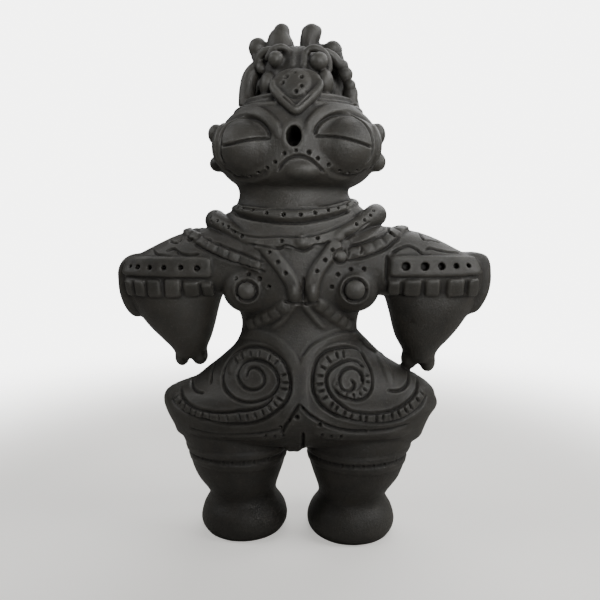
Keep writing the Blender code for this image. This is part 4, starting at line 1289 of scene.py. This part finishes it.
tickMarks = {
    "wide": 1.2, "deep": 1.6, "steepness": 2.4, "lip": 0.2, "seed": 12,
    "unevenness": 0.16, "sway": 60,  # in degrees
    # rows round the thighs, laid out as the hips' bands are
    "rows": [
        ([(-78, 61), (-58, 60.6), (-34, 60.6), (-12, 61)], 3, 7.4, 0.3),
        ([(12, 61), (34, 60.6), (56, 60.6), (76, 61)], 3, 7.4, 0.35),
    ],
    # single ones under the hips: the middle, the angle and the length
    "stamps": [(-20.4, 83.8, 62, 3), (-14.3, 83.6, 62, 3), (-8.4, 84.2, 62, 3), (17.3, 85.4, 62, 3),
               (23.4, 84.4, 62, 3), (29.8, 84, 62, 3)],
}


def stampedDots():
    paths = []

    def stamp(spot, share, depth):
        if spot is not None:
            paths.append([(*spot, dotMarks["wide"] * share, dotMarks["deep"] * depth)])

    for places in dotPlaces.values():
        for x, z, share in places:
            stamp(skin.spot(x, z), share, min(1, share))
    closer, shift, depth = dotMarks["behind"]
    for x, z, share in dotPlaces["collar"] + dotPlaces["neck"][1:]:
        stamp(skin.spot(x * closer + shift, z, behind=True), share, depth)
    return paths


def stampedTicks():
    chance = random.Random(tickMarks["seed"])
    uneven = tickMarks["unevenness"]
    ticks = [tick + (1.0,) for tick in tickMarks["stamps"]]
    for points, length, spacing, depth in hipBands["rows"] + tickMarks["rows"]:
        line = smoothLine(points, 0.5)
        steps = np.linalg.norm(np.diff(line, axis=0), axis=1)
        marks = np.concatenate([[0], np.cumsum(steps)])
        for k in range(int(marks[-1] / spacing)):
            spot = (k + 0.5 + chance.uniform(-uneven, uneven)) * spacing
            i = min(int(np.searchsorted(marks, spot)), len(line) - 2)
            dx, dz = line[i + 1] - line[i]
            sway = chance.uniform(-tickMarks["sway"], tickMarks["sway"]) * uneven
            turn = math.degrees(math.atan2(dz, dx)) + 90 + sway
            long = length * chance.uniform(1 - uneven, 1)
            ticks.append((*line[i], turn, long, depth))
    paths = []
    for x, z, turn, length, depth in ticks:
        dx = math.cos(math.radians(turn)) * length / 2
        dz = math.sin(math.radians(turn)) * length / 2
        for behind in (False, True):
            line = skin.front([(x - dx, z - dz), (x + dx, z + dz)], 0.3, behind)
            paths += drawn([line], tickMarks["wide"], tickMarks["deep"] * depth, taper=3)
    return paths


def pressIn(mesh, paths, steepness, lip):
    tool = placed("tool", pathMesh(paths))
    made = grown(pressed, mesh, {"Tool": tool, "Steepness": steepness, "Lip": lip})
    bpy.data.objects.remove(tool)
    return made


linePaths = stickLines()
dotPaths = stampedDots()
tickPaths = stampedTicks()
say(f"{len(linePaths)} drawn lines, {len(dotPaths)} dots and {len(tickPaths)} ticks laid out")
dressed = pressIn(dressed, dotPaths, dotMarks["steepness"], dotMarks["lip"])
dressed = pressIn(dressed, tickPaths, tickMarks["steepness"], tickMarks["lip"])
dressed = pressIn(dressed, linePaths, hipLines["steepness"], hipLines["lip"])
say("marks pressed in")


# Ridges and hollows are read from the shape and kept as an attribute: the colour lightens the
# ridges, partly as wear and partly as painted highlight, and paints shade into the hollows.

# for fine and broad relief: how often the shape is smoothed, and the height that counts in full
reliefReach = {5: 0.16, 36: 0.6}


def meanRound(values, ends, share):
    count = len(values)
    total = np.zeros_like(values)
    for k in range(values.shape[1]):
        total[:, k] = np.bincount(ends[:, 0], values[ends[:, 1], k], count)
        total[:, k] += np.bincount(ends[:, 1], values[ends[:, 0], k], count)
    number = np.bincount(ends.ravel(), minlength=count)[:, None]
    return values + share * (total / np.maximum(number, 1) - values)


def markRelief(mesh):
    places, normals = corners(mesh)
    ends = np.empty(2 * len(mesh.edges), np.int64)
    mesh.edges.foreach_get("vertices", ends)
    ends = ends.reshape(-1, 2)
    smoothed = places
    relief = np.zeros(len(places))
    for turn in range(1, max(reliefReach) + 1):
        smoothed = meanRound(smoothed, ends, 0.9)
        if turn in reliefReach:
            out = ((places - smoothed) * normals).sum(axis=1)
            relief += np.tanh(out / reliefReach[turn])
    keep(mesh, "relief", "FLOAT", meanRound(relief[:, None], ends, 0.8) / len(reliefReach))


markRelief(dressed)
say("relief read")


def outsideOnly(bm):
    # drops the skins of small voids shut inside the clay
    waiting = set(bm.verts)
    skins = []
    while waiting:
        found = {waiting.pop()}
        edgeOfIt = list(found)
        while edgeOfIt:
            corner = edgeOfIt.pop()
            for edge in corner.link_edges:
                other = edge.other_vert(corner)
                if other not in found:
                    found.add(other)
                    edgeOfIt.append(other)
        waiting -= found
        skins.append(found)
    skins.sort(key=len)
    inner = [v for found in skins[:-1] for v in found]
    bmesh.ops.delete(bm, geom=inner, context="VERTS")


def thinned(mesh):
    def setUp(helper):
        thin = helper.modifiers.new("thin", "DECIMATE")
        thin.ratio = clay["triangles"] / (2 * len(mesh.polygons))
        thin.use_collapse_triangulate = True

    return withModifiers(mesh, setUp)


def standing(mesh):
    # flat soles, then metres, then the CAD box
    bm = bmesh.new()
    bm.from_mesh(mesh)
    outsideOnly(bm)
    everything = bm.verts[:] + bm.edges[:] + bm.faces[:]
    ground = {"plane_co": (0, 0, 0), "plane_no": (0, 0, 1), "clear_inner": True}
    bmesh.ops.bisect_plane(bm, geom=everything, **ground)
    rim = [e for e in bm.edges if e.is_boundary]
    soles = bmesh.ops.contextual_create(bm, geom=rim)["faces"]
    bmesh.ops.triangulate(bm, faces=soles)
    bmesh.ops.scale(bm, vec=(0.001, 0.001, 0.001), verts=bm.verts)
    bm.to_mesh(mesh)
    bm.free()
    places, normals = corners(mesh)
    low, high = places.min(axis=0), places.max(axis=0)
    cadLow, cadHigh = np.array(cadBox[0]), np.array(cadBox[1])
    fit = (cadHigh - cadLow) / (high - low)
    print("  fit to the CAD box", [round(float(v), 4) for v in fit])
    middle = (low + high) / 2
    places = middle + (places - middle) * np.minimum(fit, 1.0) + np.array(clay["toFrame"]) * 0.001
    low, high = places.min(axis=0), places.max(axis=0)
    places += np.maximum(cadLow - low, 0) + np.minimum(cadHigh - high, 0)
    mesh.vertices.foreach_set("co", places.ravel())
    mesh.update()
    return mesh


figureMesh = standing(thinned(dressed))
say(f"figure, {len(figureMesh.polygons)} faces")


# The clay's looks

clayLooks = {
    "dark": (0.0185, 0.0175, 0.0150, 1.0),
    "light": (0.041, 0.0395, 0.034, 1.0),
    "warm": (0.036, 0.029, 0.022, 1.0),
    # the pale tone of specks, wiping streaks and worn ridges; on the ridges it is also a painted
    # highlight
    "wearAndHighlight": (0.085, 0.084, 0.075, 1.0),
    # painted shade: the colour laid into hollows, creases and pits, where shadow falls
    "hollowShade": (0.0075, 0.007, 0.006, 1.0),
    "warmShare": 0.4,
    # for each: from where to where it grows, and its full share
    "specks": (0.58, 0.72, 0.45),
    "streaks": (0.56, 0.75, 0.12),
    # on the ridges: partly wear, partly a painted highlight
    "ridgeWearAndHighlight": (0.12, 0.75, 0.5),
    # painted shade grows in the hollows
    "hollowShading": (-0.12, -0.7, 0.76),
    "roughness": (0.42, 0.58),
    "ridgePolish": 0.14,
    "hollowDullness": 0.25,
    "grainDepth": 0.0003,
    # the size of the cloudy patches and of the specks in them
    "largeClouds": (0.045, 0.0016),
    "smallClouds": (0.011, 0.0006),
    "streakTurn": (0.2, 0.12, 0.0),
    "streakScale": (60.0, 60.0, 900.0),
}


def mixed(tree, factor, first, second):
    inputs = {0: factor, 6: first, 7: second}
    return add(tree, "ShaderNodeMix", {"data_type": "RGBA"}, inputs).outputs[2]


def rangeOf(tree, value, low, high, toLow=0.0, toHigh=1.0, kind="LINEAR"):
    inputs = {"Value": value, "From Min": low, "From Max": high, "To Min": toLow, "To Max": toHigh}
    return add(tree, "ShaderNodeMapRange", {"interpolation_type": kind}, inputs).outputs[0]


def newGroup(name, inputs, outputs):
    group = bpy.data.node_groups.new(name, "ShaderNodeTree")
    for label, kind, value in inputs:
        socket = group.interface.new_socket(label, in_out="INPUT", socket_type="NodeSocket" + kind)
        if value is not None:
            socket.default_value = value
    for label, kind in outputs:
        group.interface.new_socket(label, in_out="OUTPUT", socket_type="NodeSocket" + kind)
    given = group.nodes.new("NodeGroupInput").outputs
    return group, given, group.nodes.new("NodeGroupOutput").inputs


def patchGroup():
    # cloudy patches and fine specks, each from 0 to 1
    group, given, out = newGroup(
        "patches",
        [("Vector", "Vector", None), ("Patch Size", "Float", 0.04), ("Speck Size", "Float", 0.002)],
        [("Patches", "Float"), ("Specks", "Float")],
    )

    def noise(size, detail, roughness):
        inputs = {
            "Vector": given["Vector"], "Scale": maths(group, "DIVIDE", 1.0, size),
            "Detail": detail, "Roughness": roughness,
        }
        return add(group, "ShaderNodeTexNoise", {}, inputs).outputs[0]

    spread = rangeOf(group, noise(given["Patch Size"], 5.0, 0.62), 0.34, 0.66)
    group.links.new(spread, out["Patches"])
    group.links.new(noise(given["Speck Size"], 3.0, 0.7), out["Specks"])
    return group


patches = patchGroup()


def rangeTo(tree, value, setting):
    low, high, share = setting
    return rangeOf(tree, value, low, high, 0.0, share)


def surfaceOf(material):
    material.use_nodes = True
    tree = material.node_tree
    place = tree.nodes.new("ShaderNodeTexCoord").outputs["Object"]
    return tree, tree.nodes["Principled BSDF"].inputs, place


def cloudsOf(tree, place, patchSize, speckSize):
    inputs = {"Vector": place, "Patch Size": patchSize, "Speck Size": speckSize}
    return add(tree, "ShaderNodeGroup", {"node_tree": patches}, inputs).outputs


def claySurface():
    looks = clayLooks
    tree, shader, place = surfaceOf(firedClay)
    cloudy = cloudsOf(tree, place, *looks["largeClouds"])
    small = cloudsOf(tree, place, *looks["smallClouds"])
    relief = add(tree, "ShaderNodeAttribute", {"attribute_name": "relief"}).outputs["Fac"]
    # faint streaks from wiping the damp clay
    lay = {"Vector": place, "Rotation": looks["streakTurn"], "Scale": looks["streakScale"]}
    lay = add(tree, "ShaderNodeMapping", {}, lay).outputs[0]
    streaks = {"Vector": lay, "Scale": 1.0, "Detail": 3.0}
    streaks = add(tree, "ShaderNodeTexNoise", {}, streaks).outputs[0]

    base = mixed(tree, cloudy["Patches"], looks["dark"], looks["light"])
    warm = maths(tree, "MULTIPLY", small["Patches"], looks["warmShare"])
    base = mixed(tree, warm, base, looks["warm"])
    base = mixed(tree, rangeTo(tree, cloudy["Specks"], looks["specks"]), base, looks["wearAndHighlight"])
    base = mixed(tree, rangeTo(tree, streaks, looks["streaks"]), base, looks["wearAndHighlight"])
    # the ridges are lightened, partly as wear and partly as a painted highlight where raised clay
    # catches the light
    ridgeWearHighlightMask = rangeTo(tree, relief, looks["ridgeWearAndHighlight"])
    ridgeWearHighlightMask = maths(tree, "MULTIPLY", ridgeWearHighlightMask, rangeOf(tree, small["Patches"], 0.0, 1.0, 0.45, 1.0))
    base = mixed(tree, ridgeWearHighlightMask, base, looks["wearAndHighlight"])
    # painted shade: hollows, creases and pits are darkened as if in shadow
    hollowShade = rangeTo(tree, relief, looks["hollowShading"])
    base = mixed(tree, hollowShade, base, looks["hollowShade"])
    tree.links.new(base, shader["Base Color"])

    rough = rangeOf(tree, small["Specks"], 0.3, 0.7, *looks["roughness"])
    polish = maths(tree, "MULTIPLY", ridgeWearHighlightMask, looks["ridgePolish"])
    dull = maths(tree, "MULTIPLY", hollowShade, looks["hollowDullness"])
    rough = maths(tree, "ADD", maths(tree, "SUBTRACT", rough, polish), dull)
    tree.links.new(rough, shader["Roughness"])

    grain = maths(tree, "MULTIPLY", cloudy["Specks"], 1.6)
    grain = maths(tree, "ADD", small["Specks"], grain)
    grain = maths(tree, "ADD", grain, maths(tree, "MULTIPLY", streaks, 0.25))
    inputs = {"Strength": 0.6, "Distance": looks["grainDepth"], "Height": grain}
    bump = add(tree, "ShaderNodeBump", {}, inputs)
    tree.links.new(bump.outputs[0], shader["Normal"])


claySurface()
figureMesh.materials.clear()
figureMesh.materials.append(firedClay)
figureMesh.polygons.foreach_set("use_smooth", [True] * len(figureMesh.polygons))
figure = placed("clay_figure", figureMesh)
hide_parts("dogu_figure")
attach(figure, "root")
say("clay surface")

# Floor, light and camera

studio = {
    "floorReach": 12.0,
    "floorColour": (0.90, 0.885, 0.85, 1.0),
    "floorBounce": (0.35, 0.34, 0.32, 1.0),  # its colour as it lights the figure
    "floorGlow": 0.5,  # keeps its tone pale beside the surround
    "floorRoughness": 0.8,
    "floorClouds": (0.5, 0.003),
    "floorFade": (0.22, 0.75),  # it dissolves into the pale surround between these reaches
    "sky": (0.80, 0.80, 0.79, 1.0),
    "skyStrength": 0.09,  # as it lights the figure
    "skySeen": 7.0,
    # place, size, power, spread in degrees, and what it looks at
    "lights": {
        "key": ((0.254, -0.698, 0.384), 0.30, 0.30, 40, (0.0, 0.0, 0.29)),
        "right": ((0.717, -0.126, 0.811), 0.50, 4.6, 180, (0.0, 0.0, 0.2)),
        "low": ((0.921, -0.162, 0.365), 0.50, 1.0, 180, (0.0, 0.0, 0.2)),
        "left": ((-0.717, -0.126, 0.811), 0.50, 2.8, 180, (0.0, 0.0, 0.2)),
        "behind": ((0.174, 0.649, 0.872), 1.20, 9.0, 180, (0.0, 0.0, 0.2)),
    },
    "camera": (0.02439, -0.41664, 0.222),
    "lens": 34.98,
    "pitch": 7.04,
    "yaw": 3.5,
}


def paleFloor():
    bm = bmesh.new()
    bmesh.ops.create_circle(bm, cap_ends=True, segments=96, radius=studio["floorReach"])
    mesh = bpy.data.meshes.new("floor")
    bm.to_mesh(mesh)
    bm.free()
    material = bpy.data.materials.new("paleFloor")
    tree, shader, place = surfaceOf(material)
    seen = tree.nodes.new("ShaderNodeLightPath").outputs["Is Camera Ray"]
    soft = cloudsOf(tree, place, *studio["floorClouds"])
    paler = tuple(min(1.0, c * 1.03) for c in studio["floorColour"])
    shown = mixed(tree, soft["Patches"], studio["floorColour"], paler)
    tree.links.new(mixed(tree, seen, studio["floorBounce"], shown), shader["Base Color"])
    reach = vectors(tree, "LENGTH", place)
    fade = rangeOf(tree, reach, *studio["floorFade"], 1.0, 0.0, "SMOOTHERSTEP")
    unseen = maths(tree, "SUBTRACT", 1.0, seen)
    tree.links.new(maths(tree, "MAXIMUM", fade, unseen), shader["Alpha"])
    shader["Roughness"].default_value = studio["floorRoughness"]
    tree.links.new(mixed(tree, seen, (0.0, 0.0, 0.0, 1.0), shown), shader["Emission Color"])
    shader["Emission Strength"].default_value = studio["floorGlow"]
    mesh.materials.append(material)
    floor = placed("floor", mesh)


def softLight(name, place, size, power, spread, aim):
    light = bpy.data.lights.new(name, "AREA")
    light.shape = "DISK"
    light.size = size
    light.energy = power
    light.spread = math.radians(spread)
    holder = placed(name, light)
    holder.location = place
    holder.rotation_euler = (Vector(aim) - Vector(place)).to_track_quat("-Z", "Y").to_euler()


def softSky():
    world = bpy.data.worlds.new("sky")
    world.use_nodes = True
    tree = world.node_tree
    background = tree.nodes["Background"]
    background.inputs["Color"].default_value = studio["sky"]
    seen = tree.nodes.new("ShaderNodeLightPath").outputs["Is Camera Ray"]
    strength = rangeOf(tree, seen, 0.0, 1.0, studio["skyStrength"], studio["skySeen"])
    tree.links.new(strength, background.inputs["Strength"])
    bpy.context.scene.world = world


def photoCamera():
    pitch = math.radians(studio["pitch"])
    yaw = math.radians(studio["yaw"])
    level = math.cos(pitch)
    ahead = Vector((-math.sin(yaw) * level, math.cos(yaw) * level, -math.sin(pitch)))
    lens = bpy.data.cameras.new("camera")
    lens.lens = studio["lens"]
    lens.sensor_width = 36
    lens.clip_start = 0.01
    camera = placed("camera", lens)
    camera.location = studio["camera"]
    camera.rotation_euler = ahead.to_track_quat("-Z", "Y").to_euler()
    bpy.context.scene.camera = camera


paleFloor()
for name, setting in studio["lights"].items():
    softLight(name, *setting)
softSky()
photoCamera()
say("studio")
